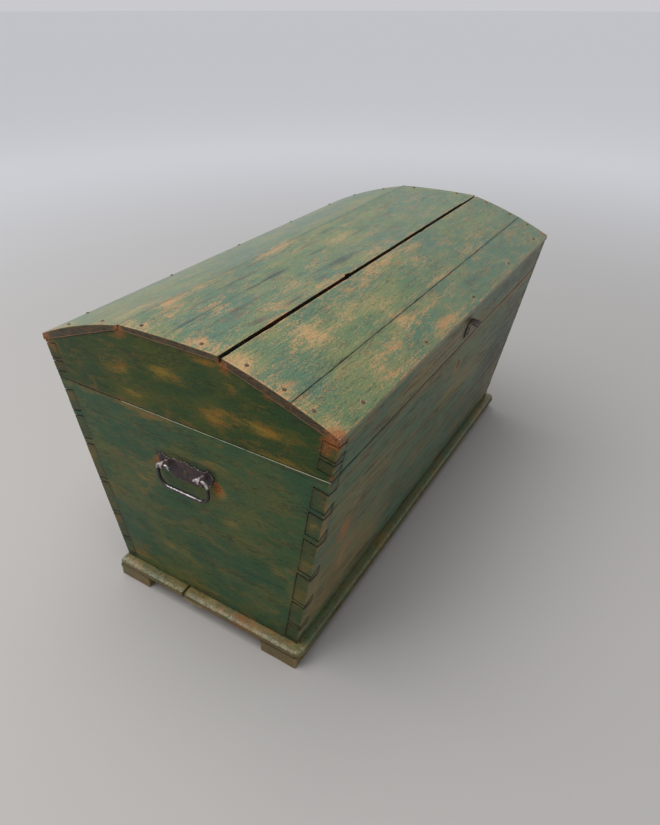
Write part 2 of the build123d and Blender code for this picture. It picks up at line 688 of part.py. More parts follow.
# Eyes: a strap of iron round the bar, its neck driven through the plate into the board.
eye_out = BAIL_BAR / 2 + PIN_FIT + EYE_WALL
eye_outline = Rot(0, 90, 0) * RegularPolygon(radius=eye_out, side_count=12, major_radius=False)
eye_ring = extrude(eye_outline, amount=EYE_WIDTH / 2, both=True)
eye_neck = Pos(0, 0, -BAIL_STANDOFF / 2) * Box(EYE_WIDTH, eye_out * 1.5, BAIL_STANDOFF)
eye_shank = Pos(0, 0, -BAIL_STANDOFF - WALL * 0.35) * Box(EYE_WIDTH * 0.8, EYE_WIDTH * 0.6, WALL * 0.7 + 2)
eye = (eye_ring + eye_neck + eye_shank) - Rot(0, 90, 0) * Cylinder(BAIL_BAR / 2 + PIN_FIT, EYE_WIDTH + 10)
eye_front = Pos(EYE_SPACING / 2, pivot_v, BAIL_STANDOFF) * eye
eye_rear = Pos(-EYE_SPACING / 2, pivot_v, BAIL_STANDOFF) * eye
handle_nail = Pos(0, 0, PLATE_THICK) * nail(length=WALL * 0.9, head=NAIL_HEAD * 1.25)
handle_hole = Pos(0, 0, PLATE_THICK) * nail_hole(length=WALL * 0.9, head=NAIL_HEAD * 1.25)


def eye_room(side):
    """The room that one eye's neck and shank need in the plate and in the board."""
    grow = 2 * NAIL_FIT
    neck = Pos(0, 0, BAIL_STANDOFF / 2) * Box(EYE_WIDTH + grow, eye_out * 1.5 + grow, BAIL_STANDOFF)
    shank = Pos(0, 0, -WALL * 0.35) * Box(
        EYE_WIDTH * 0.8 + grow, EYE_WIDTH * 0.6 + grow, WALL * 0.7 + 2 + grow
    )
    return Pos(side * EYE_SPACING / 2, pivot_v, 0) * (neck + shank)


eye_rooms = [eye_room(-1), eye_room(1)]
plate = cut_all(plate, eye_rooms + [handle_hole])
handle = {
    "handle_plate": END_PLANE.location * plate,
    "handle_eye_front": END_PLANE.location * eye_front,
    "handle_eye_rear": END_PLANE.location * eye_rear,
    "handle_nail": END_PLANE.location * handle_nail,
    "bail": END_PLANE.location * bail,
}
for name, solid in handle.items():
    parts["left_" + name] = solid
    parts["right_" + name] = mirror(solid, about=Plane.YZ)
for tool in eye_rooms + [handle_hole]:
    tool = END_PLANE.location * tool
    left_end_panel = left_end_panel - tool
    right_end_panel = right_end_panel - mirror(tool, about=Plane.YZ)

# Lock. Its case is a sheet box behind the front board, open towards the board. Inside it a
# bolt slides along X through two guides and into the loop of the staple.
def inner_y(z):
    """Depth of the inside face of the front board, and of the lid's front rail, at height z."""
    return -face_y(z) + WALL_Y


def inner_sheet(z0, z1, x0, x1, gap, thick):
    """A sheet lying against the inside of the front, the given gap away from it."""
    out = thick / COS_L
    outline = [
        (inner_y(z0) + gap, z0),
        (inner_y(z0) + gap + out, z0),
        (inner_y(z1) + gap + out, z1),
        (inner_y(z1) + gap, z1),
    ]
    return prism_x(outline, x0, x1)


def lock_prism(z0, z1, y_back, x0, x1, gap):
    """A block behind the front board, its front following the lean of the board."""
    outline = [(inner_y(z0) + gap, z0), (y_back, z0), (y_back, z1), (inner_y(z1) + gap, z1)]
    return prism_x(outline, x0, x1)


half_bolt = BOLT_SIZE / 2
half_staple = STAPLE_THICK / 2
bolt_z = SEAM - BOLT_DROP
loop_low = bolt_z - half_bolt - LOOP_PLAY - STAPLE_METAL
loop_y0 = inner_y(loop_low) + STAPLE_ROOM / 2
loop_y1 = loop_y0 + 2 * STAPLE_METAL + 2 * LOOP_PLAY + BOLT_SIZE
bolt_y = (loop_y0 + loop_y1) / 2
staple_x = KEYHOLE_X - STAPLE_OFFSET
bolt_x0 = staple_x + half_staple + BOLT_REST
bolt_x1 = bolt_x0 + BOLT_LENGTH
case_top = SEAM - LOCK_WALL
case_low = keyhole_z - KEYHOLE_LENGTH / 2 - LOCK_MARGIN
case_back = loop_y1 + STAPLE_ROOM + LOCK_WALL
case_x0 = staple_x - half_staple - BOLT_THROW - LOCK_MARGIN
case_x1 = bolt_x1 + LOCK_MARGIN

w = LOCK_WALL
lock_case = lock_prism(case_low, case_top, case_back, case_x0, case_x1, NAIL_FIT)
hollow = lock_prism(case_low + w, case_top - w, case_back - w, case_x0 + w, case_x1 - w, -1.0)
lock_case = lock_case - hollow
slot_x = half_staple + SLIDE_FIT * 4
slot_y0 = loop_y0 - STAPLE_ROOM
slot_y1 = loop_y1 + STAPLE_ROOM / 2
staple_slot = block(staple_x - slot_x, staple_x + slot_x, slot_y0, slot_y1, case_top - w - 1, SEAM)
lock_case = lock_case - staple_slot

# The two guides stand between the case's back and the board, with the bolt's hole through each.
for x in (bolt_x0 + GUIDE_INSET, bolt_x1 - BOLT_THROW - GUIDE_INSET):
    reach = BOLT_SIZE * 1.2
    guide = lock_prism(bolt_z - reach, bolt_z + reach, case_back - w / 2, x - w / 2, x + w / 2, SLIDE_FIT)
    lock_case = lock_case + guide
hole = half_bolt + SLIDE_FIT
bolt_hole = block(bolt_x0 - 1, bolt_x1 + 1, bolt_y - hole, bolt_y + hole, bolt_z - hole, bolt_z + hole)
lock_case = lock_case - bolt_hole
lock_bolt = block(
    bolt_x0, bolt_x1, bolt_y - half_bolt, bolt_y + half_bolt, bolt_z - half_bolt, bolt_z + half_bolt
)
# A notch in the underside of the bolt, where the bit of a key would push it.
notch = block(
    KEYHOLE_X - half_bolt, KEYHOLE_X + half_bolt, bolt_y - BOLT_SIZE, bolt_y + BOLT_SIZE,
    bolt_z - BOLT_SIZE, bolt_z - half_bolt * 0.25,
)
lock_bolt = lock_bolt - notch
lock_bolt = chamfer(lock_bolt.faces().sort_by(Axis.X)[0].edges(), 0.8)

# Two flanges lie on the board, with two nails through each.
flange_low = case_low + LOCK_MARGIN * 0.6
flange_high = case_top - LOCK_MARGIN * 0.6
flange_z0 = flange_low - LOCK_MARGIN / 2
flange_z1 = flange_high + LOCK_MARGIN / 2
for x0, x1 in ((case_x0 - FLANGE_WIDTH, case_x0 + w / 2), (case_x1 - w / 2, case_x1 + FLANGE_WIDTH)):
    lock_case = lock_case + inner_sheet(flange_z0, flange_z1, x0, x1, NAIL_FIT, FLANGE_THICK)
lock_nails = []
lock_holes = []
lock_nail_sizes = {"length": WALL * 0.75, "head": NAIL_HEAD * 0.8}
inward = (0, COS_L, SIN_L)
for x in (case_x0 - FLANGE_WIDTH * 0.55, case_x1 + FLANGE_WIDTH * 0.55):
    for z in (flange_low, flange_high):
        point = (x, inner_y(z) + NAIL_FIT + FLANGE_THICK / COS_L, z)
        drive(lock_nails, lock_holes, point, inward, **lock_nail_sizes)
lock_case = cut_all(lock_case, lock_holes)

# Staple: a leaf on the inside of the lid's front rail, with a loop hanging below it.
leaf_low = LID_BOTTOM + STAPLE_METAL
leaf_high = leaf_low + STAPLE_LEAF
leaf_half = STAPLE_LEAF_WIDTH / 2
web_high = leaf_low + STAPLE_METAL * 5
staple_leaf = inner_sheet(
    leaf_low, leaf_high, staple_x - leaf_half, staple_x + leaf_half, NAIL_FIT, STAPLE_METAL
)
loop = block(staple_x - half_staple, staple_x + half_staple, loop_y0, loop_y1, loop_low, web_high)
web = lock_prism(
    leaf_low, web_high, loop_y1, staple_x - half_staple, staple_x + half_staple, STAPLE_METAL / 2
)
loop_hole = block(
    staple_x - STAPLE_THICK,
    staple_x + STAPLE_THICK,
    loop_y0 + STAPLE_METAL,
    loop_y1 - STAPLE_METAL,
    bolt_z - half_bolt - LOOP_PLAY,
    bolt_z + half_bolt + LOOP_PLAY,
)
lock_staple = (staple_leaf + loop + web) - loop_hole
staple_nails = []
staple_holes = []
for x, share in ((-0.6, 0.82), (0.6, 0.82), (-0.6, 0.2), (0.6, 0.2)):
    height = leaf_low + share * (leaf_high - leaf_low)
    point = (staple_x + x * leaf_half, inner_y(height) + NAIL_FIT + STAPLE_METAL / COS_L, height)
    drive(staple_nails, staple_holes, point, inward, **lock_nail_sizes)
lock_staple = cut_all(lock_staple, staple_holes)

# Lifting lip: a strap nailed flat to the front rail, its top turned out and slightly down.
lip_low = PULL_Z - PULL_LEAF
lip_skin = PULL_THICK / COS_L
bend = PULL_THICK * 1.25
pull_outline = [
    (-face_y(lip_low) - NAIL_FIT, lip_low),
    (-face_y(lip_low) - lip_skin, lip_low),
    (-face_y(PULL_Z - bend * 1.6) - lip_skin, PULL_Z - bend * 1.6),
    (-face_y(PULL_Z - bend) - lip_skin - bend * 0.3, PULL_Z - bend),
    (-PULL_TIP + PULL_THICK * 2, PULL_Z - PULL_DIP * 0.45 - PULL_THICK),
    (-PULL_TIP, PULL_Z - PULL_DIP - PULL_THICK),
    (-PULL_TIP, PULL_Z - PULL_DIP),
    (-PULL_TIP + PULL_THICK * 1.7, PULL_Z - PULL_DIP * 0.35),
    (-face_y(PULL_Z) - PULL_THICK, PULL_Z),
    (-face_y(PULL_Z) - NAIL_FIT, PULL_Z),
]
lid_pull = prism_x(pull_outline, -PULL_WIDTH / 2, PULL_WIDTH / 2)
pull_nails = []
pull_holes = []
out_front = (0, -COS_L, -SIN_L)
for drop in (0.5, 0.82):
    height = PULL_Z - drop * PULL_LEAF
    point = (0, -face_y(height) - lip_skin, height)
    drive(pull_nails, pull_holes, point, out_front, **lock_nail_sizes)
lid_pull = cut_all(lid_pull, pull_holes)

# Every board that nails go into gets their holes.
body_nail_tools = bottom_holes + foot_holes + all_leaf_holes + lock_holes
lid_nail_tools = cover_holes + all_leaf_holes + staple_holes + pull_holes
parts["front_panel"] = cut_all(front_panel, touching(front_panel, body_nail_tools))
parts["back_panel"] = cut_all(back_panel, touching(back_panel, body_nail_tools))
parts["left_end_panel"] = cut_all(left_end_panel, touching(left_end_panel, body_nail_tools))
parts["right_end_panel"] = cut_all(right_end_panel, touching(right_end_panel, body_nail_tools))
parts["lid_front_rail"] = cut_all(lid_front_rail, touching(lid_front_rail, lid_nail_tools))
parts["lid_back_rail"] = cut_all(lid_back_rail, touching(lid_back_rail, lid_nail_tools))
parts["lid_left_end"] = cut_all(lid_left_end, touching(lid_left_end, lid_nail_tools))
parts["lid_right_end"] = cut_all(lid_right_end, touching(lid_right_end, lid_nail_tools))
parts["lock_case"] = lock_case
parts["lock_bolt"] = lock_bolt
parts["lock_nails"] = lock_nails
parts["lock_staple"] = lock_staple
parts["staple_nails"] = staple_nails
parts["lid_pull"] = lid_pull
parts["lid_pull_nails"] = pull_nails

for name, solid in parts.items():
    # A set of nails is one file that holds several solids.
    pieces = solid if isinstance(solid, list) else [solid]
    moved = [Pos(0, SHIFT, 0) * one for piece in pieces for one in piece.solids()]
    shape = moved[0] if len(moved) == 1 else Compound(moved)
    export_step(shape, "parts/" + name + ".step")

print("shift", round(SHIFT, 4), "pieces", len(parts))
print("hinge axis", round(hinge_y + SHIFT, 4), round(hinge_z, 4))
print("bail axis x", round(HALF + BAIL_STANDOFF, 4), "y", round(SHIFT, 4), "z", round(handle_z + pivot_v, 4))
print("bolt", round(bolt_x0, 3), round(bolt_y + SHIFT, 3), round(bolt_z, 3), "staple x", round(staple_x, 3))
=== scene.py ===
# %% [markdown]
# # A green painted trunk with a domed lid
#
# The real trunk is an old softwood chest with walls that lean outwards, dovetailed corners and a
# lid covered by four long boards. It was painted green, worn through to the wood in many places,
# and varnished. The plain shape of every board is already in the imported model, so this lesson
# dresses it: each board gets soft arrises, dents and chips, and a finish that follows its wear.

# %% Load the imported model
import json
import math

import bmesh
import bpy
from mathutils import Matrix, Vector, noise
from mathutils.bvhtree import BVHTree
from mathutils.kdtree import KDTree


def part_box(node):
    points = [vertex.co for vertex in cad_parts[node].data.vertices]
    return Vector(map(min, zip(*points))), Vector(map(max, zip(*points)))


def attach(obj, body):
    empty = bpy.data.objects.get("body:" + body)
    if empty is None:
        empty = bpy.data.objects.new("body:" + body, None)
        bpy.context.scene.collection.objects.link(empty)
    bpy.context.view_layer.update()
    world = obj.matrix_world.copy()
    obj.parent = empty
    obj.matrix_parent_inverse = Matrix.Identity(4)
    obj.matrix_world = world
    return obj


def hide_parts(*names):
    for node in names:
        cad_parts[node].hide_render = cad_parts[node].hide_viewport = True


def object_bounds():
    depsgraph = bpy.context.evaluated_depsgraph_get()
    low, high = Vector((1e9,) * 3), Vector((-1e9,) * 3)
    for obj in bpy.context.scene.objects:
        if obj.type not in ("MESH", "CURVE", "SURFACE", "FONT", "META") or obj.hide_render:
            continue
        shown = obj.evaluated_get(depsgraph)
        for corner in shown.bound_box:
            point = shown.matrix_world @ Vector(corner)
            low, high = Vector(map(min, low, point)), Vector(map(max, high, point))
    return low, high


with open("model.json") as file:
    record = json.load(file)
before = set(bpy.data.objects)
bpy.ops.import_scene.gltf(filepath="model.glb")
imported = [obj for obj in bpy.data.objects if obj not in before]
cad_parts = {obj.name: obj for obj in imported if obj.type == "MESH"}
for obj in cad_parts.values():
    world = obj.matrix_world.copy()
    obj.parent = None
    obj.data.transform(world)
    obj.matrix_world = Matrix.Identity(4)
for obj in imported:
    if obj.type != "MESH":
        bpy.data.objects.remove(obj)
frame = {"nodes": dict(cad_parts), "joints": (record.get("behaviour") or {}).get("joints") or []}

cad_box = [list(corner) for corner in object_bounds()]
joints = {joint["name"]: joint for joint in frame["joints"]}
print("the packed model reaches", cad_box, "and has the joints", list(joints))

# %% [markdown]
# ## The camera
#
# The trunk is seen from above its near left corner. The viewpoint could be set by eye, but here it
# comes from the corners of the trunk in the picture, whose real places are known from its sizes.
# A wide lens close to the trunk gives the strong narrowing towards the far end.

# %% Camera
CAMERA_SPOT = (-1.2023, -0.7009, 1.1397)
CAMERA_TILT = math.pi / 2 - 0.5856
CAMERA_TURN = -1.0234
CAMERA_LENS = 27.16
FILM_WIDTH = 36.0

camera_data = bpy.data.cameras.new("camera")
camera_data.lens = CAMERA_LENS
camera_data.sensor_width = FILM_WIDTH
camera = bpy.data.objects.new("camera", camera_data)
camera.location = CAMERA_SPOT
camera.rotation_euler = (CAMERA_TILT, 0.0, CAMERA_TURN)
bpy.context.scene.collection.objects.link(camera)
bpy.context.scene.camera = camera
print("camera placed at", CAMERA_SPOT)

# %% [markdown]
# ## Mixing a finish
#
# A finish is a net of nodes. It could be wired one link at a time, but sums such as 1 - mask are
# far easier to read as sums. So one small class stands for a socket and turns Python's signs into
# Math nodes, and a finish makes every other node with a single method.

# %% A socket that can be added and multiplied
class Tone:
    """One socket of a finish, used in sums as if it were a number."""

    def __init__(self, finish, socket):
        self.finish = finish
        self.socket = socket

    def work(self, operation, first, second):
        return self.finish.node("ShaderNodeMath", {"operation": operation}, {0: first, 1: second})

    def __add__(self, other):
        return self.work("ADD", self, other)

    def __sub__(self, other):
        return self.work("SUBTRACT", self, other)

    def __rsub__(self, other):
        return self.work("SUBTRACT", other, self)

    def __mul__(self, other):
        return self.work("MULTIPLY", self, other)

    __radd__ = __add__
    __rmul__ = __mul__

    def most(self, other):
        return self.work("MAXIMUM", self, other)

    def least(self, other):
        return self.work("MINIMUM", self, other)

    def between(self, low, high):
        """0 below low, 1 above high, and a soft step from one to the other."""
        settings = {"interpolation_type": "SMOOTHSTEP"}
        return self.finish.node("ShaderNodeMapRange", settings, {0: self, 1: low, 2: high})


print("sums of sockets now make Math nodes")

# %% A finish and its nodes
class Finish:
    """A material under way, on a Principled shader."""

    def __init__(self, name):
        self.material = bpy.data.materials.new(name)
        self.material.use_nodes = True
        self.tree = self.material.node_tree
        self.shader = self.tree.nodes["Principled BSDF"]

    def node(self, kind, settings=None, sockets=None, out=0):
        made = self.tree.nodes.new(kind)
        for key, value in (settings or {}).items():
            setattr(made, key, value)
        for key, value in (sockets or {}).items():
            self.feed(made.inputs[key], value)
        return Tone(self, made.outputs[out])

    def feed(self, socket, value):
        if isinstance(value, Tone):
            self.tree.links.new(value.socket, socket)
        else:
            socket.default_value = value

    def set(self, **values):
        """Feed the shader: base_color=... goes to its Base Color socket, and so on."""
        for key, value in values.items():
            words = key.replace("_", " ").title().replace("Ior", "IOR")
            self.feed(self.shader.inputs[words], value)

    def place(self):
        """The point on the object, in metres."""
        return self.node("ShaderNodeTexCoord", out=3)

    def stretched(self, scales):
        """The point, with each direction scaled to draw a pattern out along the grain."""
        settings = {"operation": "MULTIPLY"}
        return self.node("ShaderNodeVectorMath", settings, {0: self.place(), 1: scales})

    def cloud(self, scales, detail=3.0, rough=0.55, warp=0.0, seed=0.0):
        """A cloudy pattern from 0 to 1, with so many lumps a metre in each direction."""
        shift = {0: self.stretched(scales), 1: (seed, seed, seed)}
        moved = self.node("ShaderNodeVectorMath", {"operation": "ADD"}, shift)
        sockets = {"Vector": moved, "Scale": 1.0, "Detail": detail, "Roughness": rough, "Distortion": warp}
        return self.node("ShaderNodeTexNoise", None, sockets)

    def painted(self, name):
        """A value stored on the points of the piece."""
        return self.node("ShaderNodeAttribute", {"attribute_name": name}, out=2)

    def axis(self, index):
        """One coordinate of the point on the object, in metres."""
        return self.node("ShaderNodeSeparateXYZ", None, {0: self.place()}, out=index)

    def blend(self, under, over, mask):
        """Cover one colour by another where the mask is 1."""
        settings = {"data_type": "RGBA"}
        return self.node("ShaderNodeMix", settings, {0: mask, 6: under, 7: over}, out=2)

    def bump(self, height, depth, strength=1.0):
        """Turn a height from 0 to 1 into dents of the given depth in metres."""
        sockets = {"Strength": strength, "Distance": depth, "Height": height}
        return self.node("ShaderNodeBump", None, sockets)


def colour(red, green, blue):
    """A colour given by its three levels from 0 to 255, as the shader wants it."""
    levels = []
    for level in (red, green, blue):
        share = level / 255
        levels.append(share / 12.92 if share <= 0.04045 else ((share + 0.055) / 1.055) ** 2.4)
    return (*levels, 1.0)


print("the tools for mixing finishes are ready")

# %% [markdown]
# ## Where the paint has worn through
#
# Wear on a real trunk isn't even: hands, sun and sanding take the paint off in patches. A noise
# alone would scatter them anywhere. So the larger patches are listed, each with its middle,
# its reach in both directions and its strength, in millimetres, and noise only breaks them up.
# Some patches paint light and shade instead, on the front and round the near handle.

# %% Patches on the cover, as (x, y, reach along x, reach along y, strength)
COVER_WEAR = [
    (-547, -136, 26, 32, 1.0), (-401, -166, 50, 42, 0.95), (-290, -182, 80, 15, 0.6),
    (-202, -215, 38, 30, 0.7), (-127, -136, 72, 19, 0.75), (-20, -123, 80, 9, 0.8),
    (30, -173, 34, 14, 0.6), (83, -136, 50, 11, 0.6), (15, -235, 50, 10, 0.9),
    (240, -237, 52, 11, 0.6), (285, -200, 45, 11, 0.45), (203, -218, 38, 11, 0.5),
    (-198, -260, 40, 15, 0.9), (-307, -278, 70, 11, 0.65), (-367, -301, 24, 19, 0.7),
    (-112, -312, 74, 11, 0.9), (-337, -317, 75, 6, 0.6), (-543, -233, 13, 30, 0.7),
    (-547, -312, 16, 16, 1.0), (-97, -267, 90, 9, 0.45), (-547, 96, 22, 38, 0.75),
    (-543, -61, 19, 38, 0.8), (-420, 6, 24, 38, 0.6), (-375, -67, 30, 24, 0.55),
    (-360, 111, 64, 15, 0.8), (-450, 104, 34, 16, 0.7), (-135, 104, 50, 15, 0.8),
    (-71, 115, 40, 12, 0.9), (-273, -46, 50, 11, 0.6), (-150, -20, 40, 11, 0.55),
    (-97, 59, 32, 11, 0.6), (27, 22, 50, 15, 0.85), (117, 67, 18, 9, 0.6),
    (15, -91, 72, 12, 0.7), (98, -27, 48, 11, 0.45), (-232, -91, 80, 9, 0.65),
    (-495, 148, 64, 9, 0.8), (-543, 299, 20, 24, 0.8), (250, 60, 60, 10, 0.4),
    (330, -60, 70, 10, 0.45), (420, 20, 50, 12, 0.4), (-300, 210, 90, 12, 0.4),
    (120, 240, 80, 14, 0.4), (-480, 60, 40, 16, 0.5), (-260, -150, 40, 18, 0.4),
    (-560, -322, 9, 9, 1.4), (-560, -240, 6, 60, 0.5),
]
# The paint has flaked round the cover's nails too, along its near end and its front.
COVER_WEAR += [(-546, y, 11, 9, 0.65) for y in (-271, -217, -147, -56, 72, 173, 273)]
COVER_WEAR += [(x, -310, 10, 8, 0.5) for x in (-463, -218, 30, 269, 482)]
COVER_GRIME = [
    (-240, 16, 48, 9, 0.9), (-82, 18, 40, 8, 0.8), (-82, -57, 55, 11, 0.8), (-202, -72, 32, 9, 0.7),
    (-315, -87, 32, 6, 0.7), (-431, -85, 32, 9, 0.6), (60, 78, 55, 9, 0.7), (128, -290, 82, 20, 0.35),
    (436, 119, 55, 11, 0.7), (-285, 186, 60, 11, 0.5), (-500, 16, 60, 5, 0.8), (-350, 14, 120, 4, 0.6),
    (-300, 62, 90, 7, 0.7), (-150, -48, 70, 7, 0.6), (-60, 58, 60, 6, 0.6), (-400, -24, 60, 7, 0.7),
    (100, 8, 90, 7, 0.6), (-220, 92, 60, 5, 0.6), (260, 20, 80, 7, 0.5), (-420, 50, 50, 6, 0.6),
    (200, -40, 90, 14, 0.5), (-440, -40, 60, 10, 0.5), (330, 60, 80, 9, 0.5), (60, -280, 60, 12, 0.4),
]
print(len(COVER_WEAR), "worn and", len(COVER_GRIME), "dirty patches on the cover")

# %% Patches on the near end, as (y, z, reach along y, reach in z, strength)
END_WEAR = [
    (133, 588, 24, 15, 0.8), (168, 581, 34, 30, 0.5), (28, 606, 44, 11, 0.9), (-82, 543, 32, 18, 0.9),
    (-94, 568, 27, 10, 0.5), (-187, 563, 48, 12, 0.9), (113, 538, 24, 12, 0.7), (-127, 626, 24, 9, 0.5),
    (318, 581, 22, 16, 0.8), (-312, 591, 14, 26, 0.8), (-217, 512, 50, 5, 0.7), (-77, 655, 34, 7, 0.8),
    (78, 498, 38, 9, 0.8), (253, 406, 22, 26, 0.4), (123, 342, 38, 32, 0.65), (-67, 383, 18, 17, 1.1),
    (-92, 311, 20, 13, 0.75), (-117, 348, 17, 9, 0.6), (-67, 441, 34, 10, 0.55), (88, 156, 48, 12, 0.6),
    (-12, 136, 34, 10, 0.5), (23, 236, 80, 15, 0.35), (-197, 251, 26, 26, 0.4), (-230, 186, 9, 34, 0.8),
    (193, 76, 44, 10, 0.7), (-255, 281, 16, 15, 0.7), (163, 296, 40, 18, 0.3), (-150, 120, 50, 14, 0.3),
    (60, 430, 60, 14, 0.35), (-20, 350, 60, 24, 0.3), (0, 75, 90, 8, 0.4), (200, 506, 110, 7, 0.6),
    (-276, 396, 15, 16, 0.9), (-262, 298, 16, 10, 0.8), (-246, 195, 9, 26, 0.9), (-226, 112, 12, 14, 0.6),
    (-296, 452, 9, 14, 0.6), (-306, 555, 14, 10, 0.5), (308, 480, 14, 30, 0.6), (282, 330, 14, 30, 0.6),
    (255, 180, 12, 26, 0.6),
]
# Dark patches on the near end. Those round the handle, from y -58 to 76 and z 350 to 424, are painted
# shadow of its plate and bail.
# The far end takes them turned over, so there they lie below its handle. The bands at z 62 and z 500
# darken the wall along its foot and under the lid.
END_GRIME_AND_SHADOW = [
    (113, 471, 32, 10, 0.6), (-12, 196, 75, 12, 0.7), (-82, 266, 18, 16, 0.6), (23, 471, 34, 9, 0.5),
    (8, 372, 62, 12, 0.7), (-45, 404, 22, 20, 0.6), (60, 404, 22, 20, 0.5), (8, 350, 46, 8, 0.5),
    (-240, 500, 60, 5, 0.8), (40, 62, 220, 9, 0.5), (220, 200, 24, 60, 0.3), (8, 424, 66, 6, 1.1),
    (-58, 400, 10, 26, 0.9), (76, 405, 10, 24, 0.8),
]
print(len(END_WEAR), "worn and", len(END_GRIME_AND_SHADOW), "dirty patches on the near end")

# %% Patches on the front and the back, as (x, z, reach along x, reach in z, strength)
# The last two entries are painted light, which makes the near half of the front paler.
FRONT_WEAR_AND_LIGHT = [
    (-431, 200, 12, 34, 0.8), (-450, 300, 16, 34, 0.7), (-530, 180, 10, 80, 0.7), (-548, 420, 9, 60, 0.6),
    (-60, 150, 60, 34, 0.35), (20, 436, 20, 26, 1.1), (250, 506, 160, 7, 1.2), (470, 506, 130, 7, 1.2),
    (300, 300, 90, 20, 0.35), (-300, 420, 60, 14, 0.35), (150, 220, 90, 14, 0.35), (420, 180, 80, 20, 0.4),
    (-250, 270, 50, 12, 0.35), (-350, 120, 80, 12, 0.4), (90, 350, 70, 10, 0.35), (-200, 552, 120, 8, 0.4),
    (-556, 582, 14, 14, 1.0), (-500, 575, 60, 5, 0.6), (-552, 380, 7, 26, 0.6),
    (-430, 260, 120, 110, 0.35), (-300, 180, 120, 60, 0.25),
]
# The bands at z 62 and z 502 darken the wall along its foot and just under the lid.
# The large patch at x 420, z 290 is painted shade over the far half of the front.
FRONT_GRIME_AND_SHADE = [
    (75, 430, 48, 16, 0.7), (-60, 400, 48, 22, 0.6), (-7, 325, 40, 16, 0.5), (-367, 441, 42, 4, 0.9),
    (-382, 400, 34, 4, 0.8), (-382, 360, 30, 4, 0.8), (-228, 357, 30, 4, 0.8), (-532, 439, 14, 5, 0.8),
    (0, 62, 560, 12, 0.8), (-250, 502, 300, 6, 0.8),
    (420, 290, 200, 220, 0.95), (330, 556, 220, 26, 0.6), (-60, 300, 60, 60, 0.4),
]
BACK_WEAR = [
    (-380, 150, 110, 22, 0.6), (120, 330, 130, 18, 0.55), (420, 120, 90, 26, 0.6),
    (-120, 540, 150, 14, 0.6), (-480, 400, 50, 40, 0.6), (300, 460, 120, 12, 0.6),
    (500, 560, 50, 20, 0.7), (-40, 100, 140, 14, 0.5),
]
# The bands at z 62 and z 503 darken the wall along its foot and just under the lid.
BACK_DARK_PATCHES = [
    (0, 62, 560, 12, 0.8), (-350, 440, 46, 20, 0.8), (350, 440, 46, 20, 0.8), (60, 240, 160, 14, 0.6),
    (-240, 300, 120, 10, 0.5), (0, 503, 560, 5, 0.7),
]
print(len(FRONT_WEAR_AND_LIGHT), "worn patches on the front and", len(BACK_WEAR), "on the back")

# %% Patches on the base, as on the cover, and spots of orange brown
BASE_WEAR = [
    (-575, 310, 24, 30, 0.5), (-575, 200, 24, 46, 0.6), (-575, 100, 24, 16, 0.5), (-575, -30, 24, 40, 0.7),
    (-575, -130, 24, 50, 0.8), (-575, -230, 24, 30, 0.5), (-566, -328, 12, 14, 1.2),
    (-520, -330, 26, 16, 0.8), (-400, -330, 50, 16, 0.6), (-250, -330, 60, 16, 0.7),
    (-60, -330, 80, 16, 0.5), (160, -330, 90, 16, 0.6), (420, -330, 90, 16, 0.6), (575, 0, 24, 160, 0.5),
    (0, 345, 300, 16, 0.5),
]
# Orange brown on both ends, as (x, y, z, reach, strength): corners, and rust by the plate.
AMBER = [
    (560, -322, 592, 20, 1.3), (562, -112, 660, 12, 1.1), (566, -300, 570, 14, 0.9),
    (561, 338, 592, 18, 1.0), (562, 117, 668, 12, 0.8), (562, -66, 394, 9, 1.3), (562, -64, 378, 9, 1.1),
    (562, 82, 400, 12, 0.6), (563, -318, 520, 12, 0.7), (562, -200, 632, 10, 0.6),
    (578, -322, 44, 12, 1.0), (575, -100, 44, 26, 0.7),
]
print(len(BASE_WEAR), "worn patches on the base and", len(AMBER), "orange spots")

# %% [markdown]
# ## Ageing a board
#
# A packed board has dead straight edges and flat faces. A sculptor would rub them down by hand.
# Here each board's mesh is copied and joined, its arrises are bevelled, and it is cut into small
# cells, whose points are then pushed in a little by noise, further along the arrises. Each point
# also stores how worn, dirty or bare the board is there, and where light, shade and highlights
# are painted on it, and the finishes read it.

# %% The boards and what carries them
CHEST_BOARDS = ["front_panel", "back_panel", "left_end_panel", "right_end_panel"]
BASE_BOARDS = ["bottom_board_front", "bottom_board_rear"]
FEET = ["foot_front_left", "foot_front_right", "foot_rear_left", "foot_rear_right"]
LID_FRAME = ["lid_front_rail", "lid_back_rail", "lid_left_end", "lid_right_end"]
COVER_BOARDS = ["cover_board_edge", "cover_board_front", "cover_board_middle", "cover_board_back"]
WOOD = CHEST_BOARDS + BASE_BOARDS + FEET + LID_FRAME + COVER_BOARDS
SHARP = math.radians(25)
NEARLY_FLAT = math.radians(0.6)


def joined_copy(node):
    """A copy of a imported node's mesh, with its loose triangles joined into whole faces."""
    shape = bmesh.new()
    shape.from_mesh(frame["nodes"][node].data)
    bmesh.ops.remove_doubles(shape, verts=shape.verts, dist=1e-5)
    bmesh.ops.dissolve_limit(shape, angle_limit=NEARLY_FLAT, verts=shape.verts, edges=shape.edges)
    return shape


print("the trunk has", len(WOOD), "pieces of wood")

# %% Finding the arrises that meet another board
# In metres: boards this near to each other touch, and arrises are followed in steps of this size.
TOUCHING = 0.003
ARRIS_STEP = 0.004
wood_trees = {}
for name in WOOD:
    loose = bmesh.new()
    loose.from_mesh(frame["nodes"][name].data)
    wood_trees[name] = BVHTree.FromBMesh(loose)
    loose.free()


def meets_board(point, node):
    """True if another board lies against this point."""
    for other, tree in wood_trees.items():
        if other != node and tree.find_nearest(point, TOUCHING)[0] is not None:
            return True
    return False


